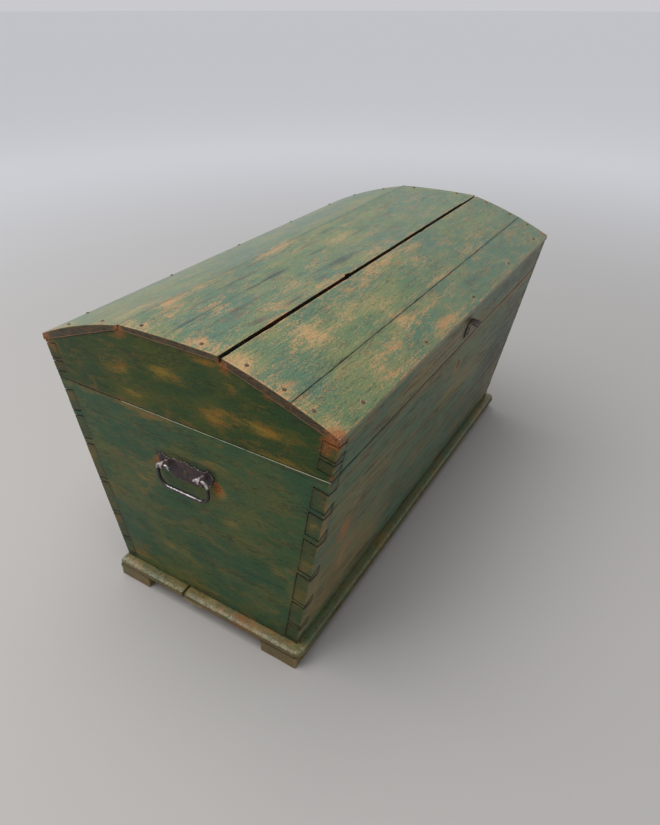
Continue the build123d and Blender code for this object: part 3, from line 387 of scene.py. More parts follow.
def arris_points(shape, node):
    """Points along the sharp edges: those that touch another board, and those left open."""
    closed = []
    exposed = []
    for edge in shape.edges:
        if len(edge.link_faces) != 2 or edge.calc_face_angle(0.0) < SHARP:
            continue
        start = edge.verts[0].co
        end = edge.verts[1].co
        steps = max(1, int((end - start).length / ARRIS_STEP))
        for step in range(steps + 1):
            point = start.lerp(end, step / steps)
            if meets_board(point, node):
                closed.append(point)
            else:
                exposed.append(point)
    return closed, exposed


def held_in(spot):
    """The point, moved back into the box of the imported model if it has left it."""
    return [min(max(spot[i], cad_box[0][i]), cad_box[1][i]) for i in range(3)]


def point_tree(points):
    """The points, ordered so that the nearest one to any spot is found at once."""
    tree = KDTree(max(1, len(points)))
    for index, point in enumerate(points):
        tree.insert(point, index)
    tree.balance()
    return tree


print("board trees built for", len(wood_trees), "boards")

# %% Rounding a board and cutting it into cells
def slice_shape(shape, axis, size):
    """Cut the whole shape across one axis at every step of the given size."""
    low = min(v.co[axis] for v in shape.verts)
    high = max(v.co[axis] for v in shape.verts)
    count = max(1, round((high - low) / size))
    normal = Vector((0, 0, 0))
    normal[axis] = 1.0
    for step in range(1, count):
        middle = Vector((0, 0, 0))
        middle[axis] = low + (high - low) * step / count
        everything = shape.verts[:] + shape.edges[:] + shape.faces[:]
        bmesh.ops.bisect_plane(shape, geom=everything, dist=1e-6, plane_co=middle, plane_no=normal)


def soften(shape, width, band):
    """Bevel the sharp edges, then lay a narrow band inside the edge of every flat."""
    closed = [edge for edge in shape.edges if len(edge.link_faces) == 2]
    sharp = [edge for edge in closed if edge.calc_face_angle(0.0) > SHARP]
    made = bmesh.ops.bevel(
        shape,
        geom=sharp,
        offset=width,
        offset_type="OFFSET",
        affect="EDGES",
        segments=2,
        profile=0.5,
        material=-1,
        clamp_overlap=True,
    )
    rounded = set(made["faces"])
    flats = [face for face in shape.faces if face not in rounded]
    bmesh.ops.inset_region(
        shape, faces=flats, thickness=band, depth=0.0, use_even_offset=True, use_boundary=True
    )


def push_points(shape, moves):
    """Move every point of a shape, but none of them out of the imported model's box."""
    for vert, move in zip(shape.verts, moves):
        vert.co = held_in(vert.co + move)


print("the tools for rounding and cutting a board are ready")

# %% Noise and patches at a point
# A patch has faded out at this many times its reach, squared, and its level is held at a top.
FADED_OUT = 6.0
TOP_LEVEL = 1.3
# Lumps in a metre: dents across and along the grain, large knocks and small ones.
DENTS_ACROSS = 34.0
DENTS_ALONG = 7.0
LARGE_KNOCKS = 46.0
SMALL_KNOCKS = 150.0


def patch_level(patches, across, up):
    """How strongly the patches act at one point, in millimetres across and up the surface."""
    level = 0.0
    for middle_a, middle_b, reach_a, reach_b, strength in patches:
        far = ((across - middle_a) / reach_a) ** 2 + ((up - middle_b) / reach_b) ** 2
        if far < FADED_OUT:
            level += strength * math.exp(-far)
    return min(level, TOP_LEVEL)


def dent(point, grain):
    """A slow unevenness from 0 to 1, drawn out along the grain."""
    scales = [DENTS_ACROSS, DENTS_ACROSS, DENTS_ACROSS]
    scales[grain] = DENTS_ALONG
    spot = Vector((point[0] * scales[0], point[1] * scales[1], point[2] * scales[2]))
    return 0.5 + 0.5 * noise.noise(spot)


def chip(point):
    """Small knocks along an arris: mostly 0, up to 1 in places."""
    first = noise.noise(point * LARGE_KNOCKS + Vector((3.1, 7.7, 1.9)))
    second = noise.noise(point * SMALL_KNOCKS)
    return max(0.0, first * 0.75 + second * 0.45 - 0.18)


print("the tools for ageing a board are ready")

# %% Which wear falls on a point
MM = 0.001
# The trunk's middle lies a little behind the origin, where its handles turn.
TRUNK_MIDDLE = joints["left_bail_hinge"]["pos_m"][1]
# The sides of the cover boards have even wear and grime.
COVER_SIDES = (0.3, 0.2)
# The far end takes the near end's patches turned over and squeezed, so that the two differ.
FAR_END_MIDDLE = 20.0
FAR_END_SQUEEZE = 0.9
FAR_END_TOP = 700.0
# A spot of orange brown has faded out at this many times its reach.
AMBER_END = 2.5
# A face is turned to one side where its normal goes at least this far that way.
TURNED = 0.6


def patches_here(node, point, out):
    """Wear and dark patches at a point, chosen by its side; some of them paint light, shade and shadow."""
    x, y, z = (value / MM for value in point)
    if node in COVER_BOARDS:
        if out.z < 0.3:
            return COVER_SIDES
        return patch_level(COVER_WEAR, x, y), patch_level(COVER_GRIME, x, y)
    if node in BASE_BOARDS or node in FEET:
        return patch_level(BASE_WEAR, x, y), 0.0
    if abs(out.x) > TURNED:
        if x > 0:
            y = FAR_END_MIDDLE - y * FAR_END_SQUEEZE
            z = FAR_END_TOP - z
        return patch_level(END_WEAR, y, z), patch_level(END_GRIME_AND_SHADOW, y, z)
    if y < 0:
        return patch_level(FRONT_WEAR_AND_LIGHT, x, z), patch_level(FRONT_GRIME_AND_SHADE, x, z)
    return patch_level(BACK_WEAR, x, z), patch_level(BACK_DARK_PATCHES, x, z)


def amber_here(point):
    """How strongly a point is stained orange brown."""
    level = 0.0
    spot = Vector((abs(point.x), point.y, point.z)) / MM
    for x, y, z, reach, strength in AMBER:
        far = (spot - Vector((x, y, z))).length / reach
        if far < AMBER_END:
            level += strength * math.exp(-far * far)
    return min(level, 1.0)


print("the trunk's middle lies at y", TRUNK_MIDDLE)

# %% The rim of the base, the gaps of the cover and the hollow
# Half sizes of the walls at their foot, of the raw floor between them, and of the cover's inner
# joints, and the width of the base's rim, in metres.
WALL_FOOT = (0.560, 0.238)
FLOOR_HALF = (0.546, 0.224)
COVER_JOINTS = 0.3
RIM_WIDTH = 0.022
# A face lies level where its normal goes this far up or down.
LEVEL = 0.75


def rim_share(point):
    """0 at the foot of the walls, 1 at the rim of the base."""
    end_share = (abs(point.x) - WALL_FOOT[0]) / RIM_WIDTH
    long_share = (abs(point.y - TRUNK_MIDDLE) - WALL_FOOT[1]) / RIM_WIDTH
    return min(1.0, max(0.0, end_share, long_share))


def in_gap(node, point, out):
    """True on the narrow sides of the cover boards that face each other."""
    return node in COVER_BOARDS and abs(out.y) > 0.7 and abs(point.y - TRUNK_MIDDLE) < COVER_JOINTS


def inside(node, point, out):
    """1 on the faces that are turned to the hollow of the trunk, which were never painted."""
    if node in ("front_panel", "lid_front_rail"):
        return 1.0 if out.y > TURNED else 0.0
    if node in ("back_panel", "lid_back_rail"):
        return 1.0 if out.y < -TURNED else 0.0
    if "end" in node:
        return 1.0 if out.x * point.x < -TURNED * abs(point.x) else 0.0
    if node in BASE_BOARDS and out.z > LEVEL:
        between_ends = abs(point.x) < FLOOR_HALF[0]
        return 1.0 if between_ends and abs(point.y - TRUNK_MIDDLE) < FLOOR_HALF[1] else 0.0
    return 1.0 if out.z < -LEVEL else 0.0


print("the floor of the hollow is", 2 * FLOOR_HALF[0], "m long")

# %% Where arrises carry a painted highlight
# Painted highlights, with some paint worn pale, on the arrises where light would catch the varnish.
# The base's rim at the ends and at the front, from this share of its width on.
RIM_GLEAM = (0.7, 0.3)
RIM_GLEAM_FROM = 0.25
RIM_GLEAM_RISE = 2.2
# The cover's near corner, the rest of its ends, and its long sides.
COVER_GLEAM = (1.0, 0.45, 0.6)
NEAR_CORNER = -0.19
# The seam between chest and lid, up to where it fades towards the back.
SEAM_GLEAM = (1.6, 0.5)
SEAM_LEVEL = 0.5
SEAM_FADES = 0.15


def painted_gleam_here(node, point, out):
    """How strongly an arris carries a painted highlight, with some paint worn pale, from 0 up."""
    if node in BASE_BOARDS and out.z > 0.1:
        share = min(1.0, max(0.0, rim_share(point) - RIM_GLEAM_FROM) * RIM_GLEAM_RISE)
        return share * (RIM_GLEAM[0] if abs(point.x) > WALL_FOOT[0] else RIM_GLEAM[1])
    if node in COVER_BOARDS and out.z > 0.25:
        if abs(out.x) > 0.25:
            return COVER_GLEAM[0] if point.y < NEAR_CORNER else COVER_GLEAM[1]
        return COVER_GLEAM[2] if abs(out.y) > 0.45 else 0.0
    if "end_panel" in node and point.z > SEAM_LEVEL and abs(out.x) > 0.2 and out.z > 0.15:
        return SEAM_GLEAM[0] if point.y < SEAM_FADES else SEAM_GLEAM[1]
    return 0.0


print("the seam shines from", SEAM_LEVEL, "m up")

# %% What each point of a board stores, and how far it is pushed in
STORED = ("worn", "grime", "open_edge", "joint", "bare", "end_grain", "gleam", "amber")
# In metres: how far the wear of an arris reaches, how far an open arris is rubbed down, and how
# far the base's rim falls.
EDGE_REACH = 0.012
RUBBED_ARRIS = 0.0007
RIM_FALL = 0.0045


def board_levels(node, point, out, grain, away_closed, away_exposed):
    """The levels of one point of a board, in the order of STORED."""
    worn, grime = patches_here(node, point, out)
    open_edge = max(0.0, 1.0 - away_exposed / EDGE_REACH)
    joint = 1.0 if in_gap(node, point, out) else max(0.0, 1.0 - away_closed / EDGE_REACH)
    bare = inside(node, point, out)
    end_grain = abs(out[grain]) ** 2
    return worn, grime, open_edge, joint, bare, end_grain, painted_gleam_here(node, point, out), amber_here(point)


def board_move(node, point, out, grain, open_edge, joint, dents, chips):
    """How far dents, chips and rubbing move one point of a board."""
    depth = dents * dent(point, grain)
    depth += chips * chip(point) * max(open_edge, joint * 0.75) ** 3
    depth += RUBBED_ARRIS * max(0.0, open_edge - 0.9) * 10.0 * (1.0 - joint)
    move = out * -depth
    if node in BASE_BOARDS and out.z > 0.2:
        move -= Vector((0, 0, RIM_FALL * rim_share(point) ** 2))
    return move


print("each point of a board stores", ", ".join(STORED))

# %% Turning a shape into a piece
def new_piece(name, shape, levels, crease=None):
    """A piece of the scene made from a shape, smooth but for its creases, with levels stored on it."""
    mesh = bpy.data.meshes.new(name)
    shape.to_mesh(mesh)
    shape.free()
    for level_name, values in levels.items():
        mesh.attributes.new(level_name, "FLOAT", "POINT").data.foreach_set("value", values)
    mesh.shade_smooth()
    if crease:
        mesh.set_sharp_from_angle(angle=math.radians(crease))
    piece = bpy.data.objects.new(name, mesh)
    bpy.context.scene.collection.objects.link(piece)
    return piece


def stand_in(piece, node, body):
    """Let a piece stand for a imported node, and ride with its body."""
    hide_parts(node)
    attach(piece, body)
    print(piece.name, "has", len(piece.data.polygons), "faces")


# %% The whole ageing of one board
RIM_BAND = 0.0016
BOARD_CREASE = 50
END_FACE = 0.7


def aged_board(node, body, grain, cells, dents=0.0004, chips=0.0012, start=None, arris=0.0008):
    """Replace a packed board by a worn copy of itself, and store its wear and its painted light, shade and
    highlights on its points.
    """
    shape = start or joined_copy(node)
    closed, exposed = arris_points(shape, node)
    closed_tree = point_tree(closed)
    exposed_tree = point_tree(exposed)
    soften(shape, arris, RIM_BAND)
    for axis in range(3):
        slice_shape(shape, axis, cells[axis])
    shape.normal_update()
    stored = {name: [] for name in STORED}
    moves = []
    for vert in shape.verts:
        away_closed = closed_tree.find(vert.co)[2] if closed else 1.0
        away_exposed = exposed_tree.find(vert.co)[2] if exposed else 1.0
        levels = board_levels(node, vert.co, vert.normal, grain, away_closed, away_exposed)
        for name, level in zip(STORED, levels):
            stored[name].append(level)
        open_edge, joint = levels[2:4]
        moves.append(board_move(node, vert.co, vert.normal, grain, open_edge, joint, dents, chips))
    push_points(shape, moves)
    piece = new_piece("wood_" + node, shape, stored, BOARD_CREASE)
    for face in piece.data.polygons:
        face.material_index = 1 if abs(face.normal[grain]) > END_FACE else 0
    even = piece.modifiers.new("even_shading", "WEIGHTED_NORMAL")
    even.keep_sharp = True
    stand_in(piece, node, body)
    return piece


print("a board can be aged")

# %% [markdown]
# ## The boards of the chest
#
# The front and back boards carry the tails of the dovetails and the ends carry the pins. They are
# aged as whole boards, so that every pin and tail keeps its own softened edge, and the fine gap
# between them reads as a joint. The grain runs along each board.

# %% Chest boards
ALONG_X = 0
ALONG_Y = 1
LONG_CELLS = (0.012, 0.010, 0.008)
END_CELLS = (0.014, 0.010, 0.008)
board_pieces = {}
for node in CHEST_BOARDS:
    grain = ALONG_Y if "end" in node else ALONG_X
    cells = LONG_CELLS if grain == ALONG_X else END_CELLS
    board_pieces[node] = aged_board(node, "chest", grain, cells, chips=0.0022)

# %% [markdown]
# ## The base and its feet
#
# Two boards close the chest below and stand out as a rounded moulding. A shrinkage gap has opened
# between them. The feet are plain blocks. They took the most knocks, so their chips are deeper.

# %% Base boards and feet
BASE_CHIPS = 0.004
BASE_CELLS = (0.014, 0.014, 0.009)
FOOT_CELLS = (0.009, 0.009, 0.008)
for node in BASE_BOARDS + FEET:
    cells, dents = (FOOT_CELLS, 0.0009) if node in FEET else (BASE_CELLS, 0.0008)
    board_pieces[node] = aged_board(node, "chest", ALONG_X, cells, dents, BASE_CHIPS)

# %% [markdown]
# ## The lid
#
# The lid's rails and ends carry on the lines of the chest. Its four cover boards are planed round
# on top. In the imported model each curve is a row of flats, so these boards are made anew: a sheet
# of small cells is laid on the circle that the flats follow, and thickened down to the frame.

# %% The underside of the cover
# Half width of the flat top of the lid's frame, its height, its slope to each side, and the small
# room left under the boards.
FRAME_FLAT = 0.108
FRAME_TOP = 0.6663
FRAME_SLOPE = 0.347
BOARD_ROOM = 0.0001


def under_board(y):
    """Height of the underside of the cover at y."""
    down = max(0.0, abs(y - TRUNK_MIDDLE) - FRAME_FLAT)
    return FRAME_TOP + BOARD_ROOM - down * FRAME_SLOPE


print("the cover lies at", under_board(TRUNK_MIDDLE), "in the middle")

# %% Planing the cover boards round
# A notch in the wide gap of the cover, and the place from which the gap is thinner, in metres.
NOTCH = (-0.161, -0.145)
NOTCH_DEPTH = 0.0045
BULGE_START = 0.458
GAP_BULGE = 0.0025
# The fine seam is drawn nearly shut. The sides waver by twice SIDE_WAVER at most, WAVERS times a metre.
SEAM_CLOSED = 0.0005
SIDE_WAVER = 0.0003
WAVERS = 21.0
# Cells along a board, and their size across it.
SHEET_CELLS = 140
SHEET_CELL = 0.006


def circle_through(first, second, third):
    """Middle and radius of the circle through three (y, z) points."""
    (ay, az), (by, bz), (cy, cz) = first, second, third
    d = 2 * (ay * (bz - cz) + by * (cz - az) + cy * (az - bz))
    a2 = ay * ay + az * az
    b2 = by * by + bz * bz
    c2 = cy * cy + cz * cz
    middle_y = (a2 * (bz - cz) + b2 * (cz - az) + c2 * (az - bz)) / d
    middle_z = (a2 * (cy - by) + b2 * (ay - cy) + c2 * (by - ay)) / d
    return middle_y, middle_z, math.hypot(ay - middle_y, az - middle_z)


def side_step(node, x, side):
    """How far a long side of a cover board strays from straight: a slow waver, a notch, a bulge."""
    if abs(side) < 0.99:
        return 0.0
    waver = -side * SIDE_WAVER * (1.0 + noise.noise(Vector((x * WAVERS, side, 4.0))))
    if node == "cover_board_edge" and side > 0:
        return SEAM_CLOSED + waver * 0.5
    if node == "cover_board_middle" and side < 0:
        if NOTCH[0] < x < NOTCH[1]:
            return NOTCH_DEPTH
        return waver - (GAP_BULGE if x > BULGE_START else 0.0)
    return waver


def planed_board(node):
    """A cover board made anew: a sheet of cells laid on its curve, and thickened downwards."""
    low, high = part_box(node)
    top = set()
    for face in frame["nodes"][node].data.polygons:
        if face.normal.z > 0.2:
            for index in face.vertices:
                spot = frame["nodes"][node].data.vertices[index].co
                top.add((round(spot.y, 6), round(spot.z, 6)))
    row = sorted(top)
    middle_y, middle_z, radius = circle_through(row[0], row[len(row) // 2], row[-1])
    shape = bmesh.new()
    across = max(4, round((high.y - low.y) / SHEET_CELL))
    bmesh.ops.create_grid(shape, x_segments=SHEET_CELLS, y_segments=across, size=0.5)
    sheet = shape.faces[:]
    for vert in shape.verts:
        vert.co.x = low.x + (vert.co.x + 0.5) * (high.x - low.x)
        side = vert.co.y * 2.0
        vert.co.y = low.y + (vert.co.y + 0.5) * (high.y - low.y) + side_step(node, vert.co.x, side)
        vert.co.z = middle_z + math.sqrt(radius**2 - (vert.co.y - middle_y) ** 2)
    lower = bmesh.ops.extrude_face_region(shape, geom=sheet, use_keep_orig=True)
    for item in lower["geom"]:
        if isinstance(item, bmesh.types.BMVert):
            item.co.z = under_board(item.co.y)
    bmesh.ops.recalc_face_normals(shape, faces=shape.faces[:])
    return shape


print("a planed board has", SHEET_CELLS, "cells along it")

# %% Lid boards
for node in LID_FRAME:
    grain = ALONG_Y if "end" in node else ALONG_X
    board_pieces[node] = aged_board(node, "lid", grain, END_CELLS)
# The cover's sheets have their cells already, so these sizes cut nothing more.
UNCUT = (9.0, 9.0, 0.2)
for node in COVER_BOARDS:
    sheet = planed_board(node)
    board_pieces[node] = aged_board(
        node, "lid", ALONG_X, UNCUT, chips=0.003, start=sheet, arris=0.0005
    )

# %% [markdown]
# ## The painted wood
#
# The paint is a dull green, streaky along the grain. Where it wore off, the wood shows ochre and
# tan, and old smudges and painted shade darken it, while painted highlights pale its arrises. All
# of it could be one noise, but each layer has its own scale: slow clouds for the green, long
# streaks for the grain, small grains inside the worn patches. So one kind of finish keeps those
# patterns, and each function mixes one layer from them.

# %% The patterns of old paint
class OldPaint(Finish):
    """Green paint worn to the wood, with the grain along x or y."""

    def __init__(self, name, grain, draw):
        """Patterns with few lumps along the grain, from slow to fine, and what the boards store."""
        super().__init__(name)
        self.grain = grain
        broad = min(1.0, draw * 4.0)
        self.slow = self.lumps(6.0, broad, 0.1, detail=3.0, seed=4.0)
        self.drift = self.lumps(11.0, broad, 0.12, detail=4.0, rough=0.6, seed=21.0)
        self.tint = self.lumps(22.0, draw, detail=4.0, rough=0.6, seed=9.0)
        self.patchy = self.lumps(44.0, draw * 2.5, 0.2, detail=6.0, rough=0.68, warp=0.6, seed=12.0)
        self.brush = self.lumps(90.0, draw, detail=4.0, rough=0.65, seed=15.0)
        self.flecks = self.lumps(230.0, draw, detail=4.0, rough=0.75, seed=6.0)
        self.grains = self.lumps(300.0, 1.0, detail=3.0, rough=0.75, seed=1.0)
        self.hairs = self.lumps(420.0, draw, detail=2.0, rough=0.6, seed=2.0)
        for stored in STORED:
            setattr(self, stored, self.painted(stored))

    def lumps(self, per_metre, share, spread=0.16, **more):
        """A pattern with so many lumps a metre, and only a share of them along the grain."""
        scales = [per_metre, per_metre, per_metre]
        scales[self.grain] = per_metre * share
        return self.cloud(scales, **more).between(0.5 - spread, 0.5 + spread)


print("old paint has its patterns and", len(STORED), "stored levels")

# %% Paint, wood and stains
RAW_WOOD = [colour(138, 108, 74), colour(172, 140, 100), colour(104, 80, 54)]
RUST_STAIN = [colour(158, 92, 38), colour(84, 48, 22)]
YEAR_RINGS = (30.0, 30.0, 800.0)


def paint_layer(finish, greens, streaks):
    """The paint itself, from its main, cool, warm and deep green."""
    main, cool, warm, deep = greens
    paint = finish.blend(main, cool, finish.slow * 0.6 + finish.tint * 0.3)
    sunned = finish.drift * 0.55 + finish.tint * 0.35 + finish.brush * 0.3 - finish.slow * 0.3
    paint = finish.blend(paint, warm, sunned.between(0.2, 1.0) * 0.8)
    drawn = finish.brush * 0.45 + finish.hairs * 0.45 + finish.patchy * 0.2
    return finish.blend(paint, deep, drawn.between(0.5, 0.95) * streaks)


def bared_wood(finish, light, orange, deep):
    """The wood under the paint, whose pores are dirty."""
    wood = finish.blend(light, orange, (finish.brush * 0.5 + finish.slow * 0.5).between(0.3, 0.75))
    pores = (finish.grains * 0.5 + finish.hairs * 0.5).between(0.62, 0.9)
    return finish.blend(wood, deep, pores * 0.35)


def raw_wood(finish):
    """The wood of the hollow, never painted and a little dull."""
    raw = finish.blend(RAW_WOOD[0], RAW_WOOD[1], finish.brush * 0.5 + finish.hairs * 0.5)
    dull = (finish.slow * 0.4 + finish.tint * 0.4 + finish.brush * 0.2).between(0.4, 0.9)
    return finish.blend(raw, RAW_WOOD[2], dull * 0.5)


def board_ends(finish, end_wood, deep, orange):
    """The ends of the boards: their rings, rests of paint, and wood laid bare at the joints."""
    rings = finish.cloud(YEAR_RINGS, detail=3.0, rough=0.6, seed=17.0).between(0.36, 0.64)
    rings = (rings * 0.5 + finish.brush * 0.2 + finish.grains * 0.3).between(0.25, 0.75)
    ends = finish.blend(end_wood[0], end_wood[1], rings)
    ends = finish.blend(ends, deep, finish.patchy.between(0.5, 0.8) * 0.5)
    close = ((finish.joint - 0.8).most(0.0) * 5.0).between(0.3, 0.7)
    return finish.blend(ends, orange, close * (0.45 + finish.patchy * 0.55))


def rust_stain(finish):
    """Rust and old varnish, orange to brown."""
    mottle = (finish.grains * 0.5 + finish.flecks * 0.5).between(0.4, 0.8)
    return finish.blend(RUST_STAIN[0], RUST_STAIN[1], mottle)


print("paint, wood and stains can be mixed")

# %% Seams and cracks
# In metres: a crack wavers by half of CRACK_WAVER to each side, opens a little before its start
# and tapers out before its end.
CRACK_LUMPS = (9.0, 9.0, 9.0)
CRACK_WAVER = 0.012
CRACK_LEAD = 0.01
CRACK_OPENS = 0.03
CRACK_TAPER = 0.05


def crack_line(finish, across, start, end, level, width):
    """A thin line along the grain, 1 in its middle, wavering a little and tapering out."""
    cloud = finish.cloud(CRACK_LUMPS, detail=4.0, rough=0.7, seed=31.0)
    waver = cloud * CRACK_WAVER - CRACK_WAVER / 2
    along = finish.axis(finish.grain)
    off = {0: finish.axis(across) - level + waver}
    away = finish.node("ShaderNodeMath", {"operation": "ABSOLUTE"}, off)
    opens = along.between(start - CRACK_LEAD, start + CRACK_OPENS)
    closes = 1.0 - along.between(end - CRACK_TAPER, end)
    return (1.0 - away.between(0.0, width)) * (opens * closes)


def dark_seams(finish, limits, cracks):
    """The dark of the joints, and every crack."""
    seam = finish.joint + (finish.grains - 0.5) * 0.06 + (finish.patchy - 0.5) * 0.08
    seam = seam.between(*limits)
    for crack in cracks:
        seam = seam.most(crack_line(finish, *crack) * (0.55 + finish.flecks * 0.45))
    return seam


print("seams and cracks can be drawn")

# %% The recipe for old paint
PALE = (168, 176, 142)
PAINT_RELIEF = 0.0009
VARNISH_ROUGHNESS = 0.28


def old_paint(
    name, grain, greens, woods, dark_tones, end_wood, draw=0.16, streaks=0.75, wear=1.0, speckle=1.0, haze=1.0,
    darkening=0.8, seam=(0.85, 0.93), cracks=(), tails=1.0, pale=PALE, shine=0.35, gloss=0.3,
):
    """Lay all layers over each other.

    greens: main, cool, warm and deep; woods: light, orange and the haze of thin paint; dark_tones:
    the dark patches, with their painted shade and shadow, and the joints; end_wood: the ends of the
    boards. The rest says how far each layer goes.
    """
    finish = OldPaint(name, grain, draw)
    greens = [colour(*shade) for shade in greens]
    light, orange, hazy = [colour(*shade) for shade in woods]
    dark_patch_colour, dark = [colour(*shade) for shade in dark_tones]
    end_wood = [colour(*shade) for shade in end_wood]
    broken = finish.patchy - 0.5
    flecked = finish.flecks - 0.5
    grainy = finish.grains - 0.5

    # Where the paint is thin or gone.
    fine = flecked * 0.42 + grainy * 0.6 + (finish.hairs - 0.5) * 0.2
    rub = (finish.open_edge - 0.55).most(0.0) * 1.1
    # On the front, part of this level is painted light, from the patches that pale its near half.
    level = finish.worn * (0.8 * wear) + rub + broken * 0.6 + fine * speckle
    gone = level.between(0.3, 0.95)
    surface = paint_layer(finish, greens, streaks)
    surface = finish.blend(surface, hazy, level.between(0.0, 0.5) * (0.6 * haze))
    surface = finish.blend(surface, bared_wood(finish, light, orange, greens[3]), gone * 0.85)

    # Dark patches with painted shade and shadow, the darkening near the joints, and the dark of the joints
    # and cracks.
    smudge_and_shade = (finish.grime * darkening + broken * 0.5 + fine * 0.3).between(0.18, 0.95)
    surface = finish.blend(surface, dark_patch_colour, smudge_and_shade * 0.85)
    near_joint = (finish.joint - 0.35).most(0.0)
    surface = finish.blend(surface, dark, near_joint * (0.25 + finish.patchy * 0.35))
    seams = dark_seams(finish, seam, cracks)
    surface = finish.blend(surface, dark, seams * 0.95)

    # Ends of boards, orange stains, painted highlights on the arrises, and the raw wood of the hollow.
    rim = (finish.open_edge - 0.72).most(0.0) * 2.4
    cut = ((finish.end_grain - 0.4).most(0.0) * 2.0 * (1.0 - rim)).least(1.0) * tails
    surface = finish.blend(surface, board_ends(finish, end_wood, greens[3], orange), cut)
    stained = (finish.amber * 1.2 + broken * 0.9).between(0.15, 1.1)
    surface = finish.blend(surface, rust_stain(finish), stained * 0.85)
    # A painted highlight: pale colour along the arrises, where light would catch the varnish.
    shone = (finish.gleam * 0.8 + (broken * 0.8 + flecked * 0.7 + grainy * 0.6)).between(0.35, 1.05)
    surface = finish.blend(surface, colour(*pale), shone * finish.gleam.least(1.0) * 0.85)
    surface = finish.blend(surface, raw_wood(finish), finish.bare)

    rough = 0.40 + finish.grains * 0.14 + gone * 0.12 + finish.bare * 0.22 - finish.slow * 0.06
    height = finish.hairs * 0.35 + finish.flecks * 0.3 + finish.grains * 0.25
    height = height - gone * 0.4 - seams * 0.8 - smudge_and_shade * 0.15
    varnish = (1.0 - finish.bare) * (1.0 - cut * 0.8) * shine
    finish.set(base_color=surface, roughness=rough, normal=finish.bump(height, PAINT_RELIEF, 0.9))
    finish.set(coat_weight=varnish, coat_roughness=VARNISH_ROUGHNESS, specular_ior_level=gloss)
    print("finish", name, "has", len(finish.tree.nodes), "nodes")
    return finish.material


print("the recipe for old paint is ready")

# %% Cracks, as (axis across, start, end, height, width) in metres
UP = 2
COVER_CRACKS = [
    (ALONG_Y, -0.562, -0.44, 0.012, 0.0016), (ALONG_Y, -0.45, -0.18, 0.016, 0.0012),
    (ALONG_Y, 0.462, 0.56, -0.093, 0.0016), (ALONG_Y, -0.57, -0.38, 0.205, 0.0011),
]
FRONT_CRACKS = [
    (UP, -0.41, -0.31, 0.441, 0.0022), (UP, -0.42, -0.34, 0.400, 0.0018),
    (UP, -0.41, -0.34, 0.360, 0.0018), (UP, -0.26, -0.19, 0.357, 0.0018),
    (UP, -0.55, -0.50, 0.439, 0.0018), (UP, -0.10, 0.30, 0.262, 0.0012),
]
END_CRACKS = [(UP, -0.10, 0.12, 0.452, 0.0010), (UP, -0.20, 0.06, 0.168, 0.0010)]
print(len(COVER_CRACKS + FRONT_CRACKS + END_CRACKS), "cracks placed")

# %% The painted finishes
TAIL_ENDS = [(34, 46, 24), (92, 72, 38)]
cover_paint = old_paint(
    "cover_paint", ALONG_X,
    greens=[(82, 112, 74), (70, 104, 84), (120, 126, 74), (42, 62, 46)],
    woods=[(192, 152, 102), (198, 142, 90), (136, 130, 82)],
    dark_tones=[(44, 56, 52), (20, 18, 13)],
    end_wood=[(34, 26, 13), (92, 68, 34)],
    speckle=1.5, darkening=1.0, seam=(0.925, 0.985), cracks=COVER_CRACKS, pale=(206, 206, 180), shine=0.4,
)
lid_end_paint = old_paint(
    "lid_end_paint", ALONG_Y,
    greens=[(42, 66, 16), (32, 62, 22), (80, 82, 16), (20, 36, 12)],
    woods=[(142, 114, 36), (142, 94, 28), (90, 82, 20)],
    dark_tones=[(26, 40, 26), (12, 12, 8)],
    end_wood=TAIL_ENDS,
    wear=1.2, haze=1.2, speckle=0.8, tails=0.35, shine=0.06, gloss=0.2,
)
end_paint = old_paint(
    "end_paint", ALONG_Y,
    greens=[(57, 84, 48), (42, 78, 53), (94, 95, 47), (27, 47, 30)],
    woods=[(140, 116, 56), (154, 100, 44), (96, 95, 50)],
    dark_tones=[(22, 40, 34), (12, 14, 10)],
    end_wood=TAIL_ENDS,
    wear=1.1, haze=1.2, speckle=0.65, seam=(0.8, 0.92), cracks=END_CRACKS,
    tails=0.35, shine=0.06, gloss=0.18,
)
front_paint = old_paint(
    "front_paint", ALONG_X,
    greens=[(104, 118, 86), (82, 114, 94), (144, 124, 84), (38, 46, 37)],
    woods=[(156, 126, 86), (166, 110, 64), (132, 118, 80)],
    dark_tones=[(34, 42, 38), (11, 12, 8)],
    end_wood=TAIL_ENDS,
    draw=0.07, streaks=1.0, wear=1.15, seam=(0.8, 0.92), cracks=FRONT_CRACKS,
    tails=0.35, shine=0.05, gloss=0.15,
)


def dress(nodes, face_finish, end_finish):
    """Give boards the finish of their own faces first, then that of the faces at their two ends."""
    for node in nodes:
        for finish in (face_finish, end_finish):
            board_pieces[node].data.materials.append(finish)


dress(COVER_BOARDS, cover_paint, cover_paint)
dress(["lid_left_end", "lid_right_end"], lid_end_paint, front_paint)
dress(["left_end_panel", "right_end_panel"], end_paint, front_paint)
dress(["front_panel", "back_panel"], front_paint, end_paint)
dress(["lid_front_rail", "lid_back_rail"], front_paint, lid_end_paint)

# %% [markdown]
# ## The base wood
#
# The base was painted with the rest, but feet and floor water wore it to an olive brown, and the
# pale glossy spots on its rim are painted highlights. It could have a finish of its own kind, but
# it shares the recipe of the other boards, with browner colours and more wear, so that it looks as
# old as they do.

# %% Base finish
base_paint = old_paint(
    "base_paint", ALONG_X,
    greens=[(100, 98, 54), (74, 102, 72), (128, 106, 54), (50, 46, 28)],
    woods=[(170, 144, 100), (164, 112, 54), (130, 114, 66)],
    dark_tones=[(40, 38, 28), (12, 10, 7)],
    end_wood=[(70, 60, 30), (118, 96, 50)],
    draw=0.5, wear=1.2, tails=0.6, pale=(160, 166, 140), shine=0.45,
)
dress(BASE_BOARDS + FEET, base_paint, base_paint)

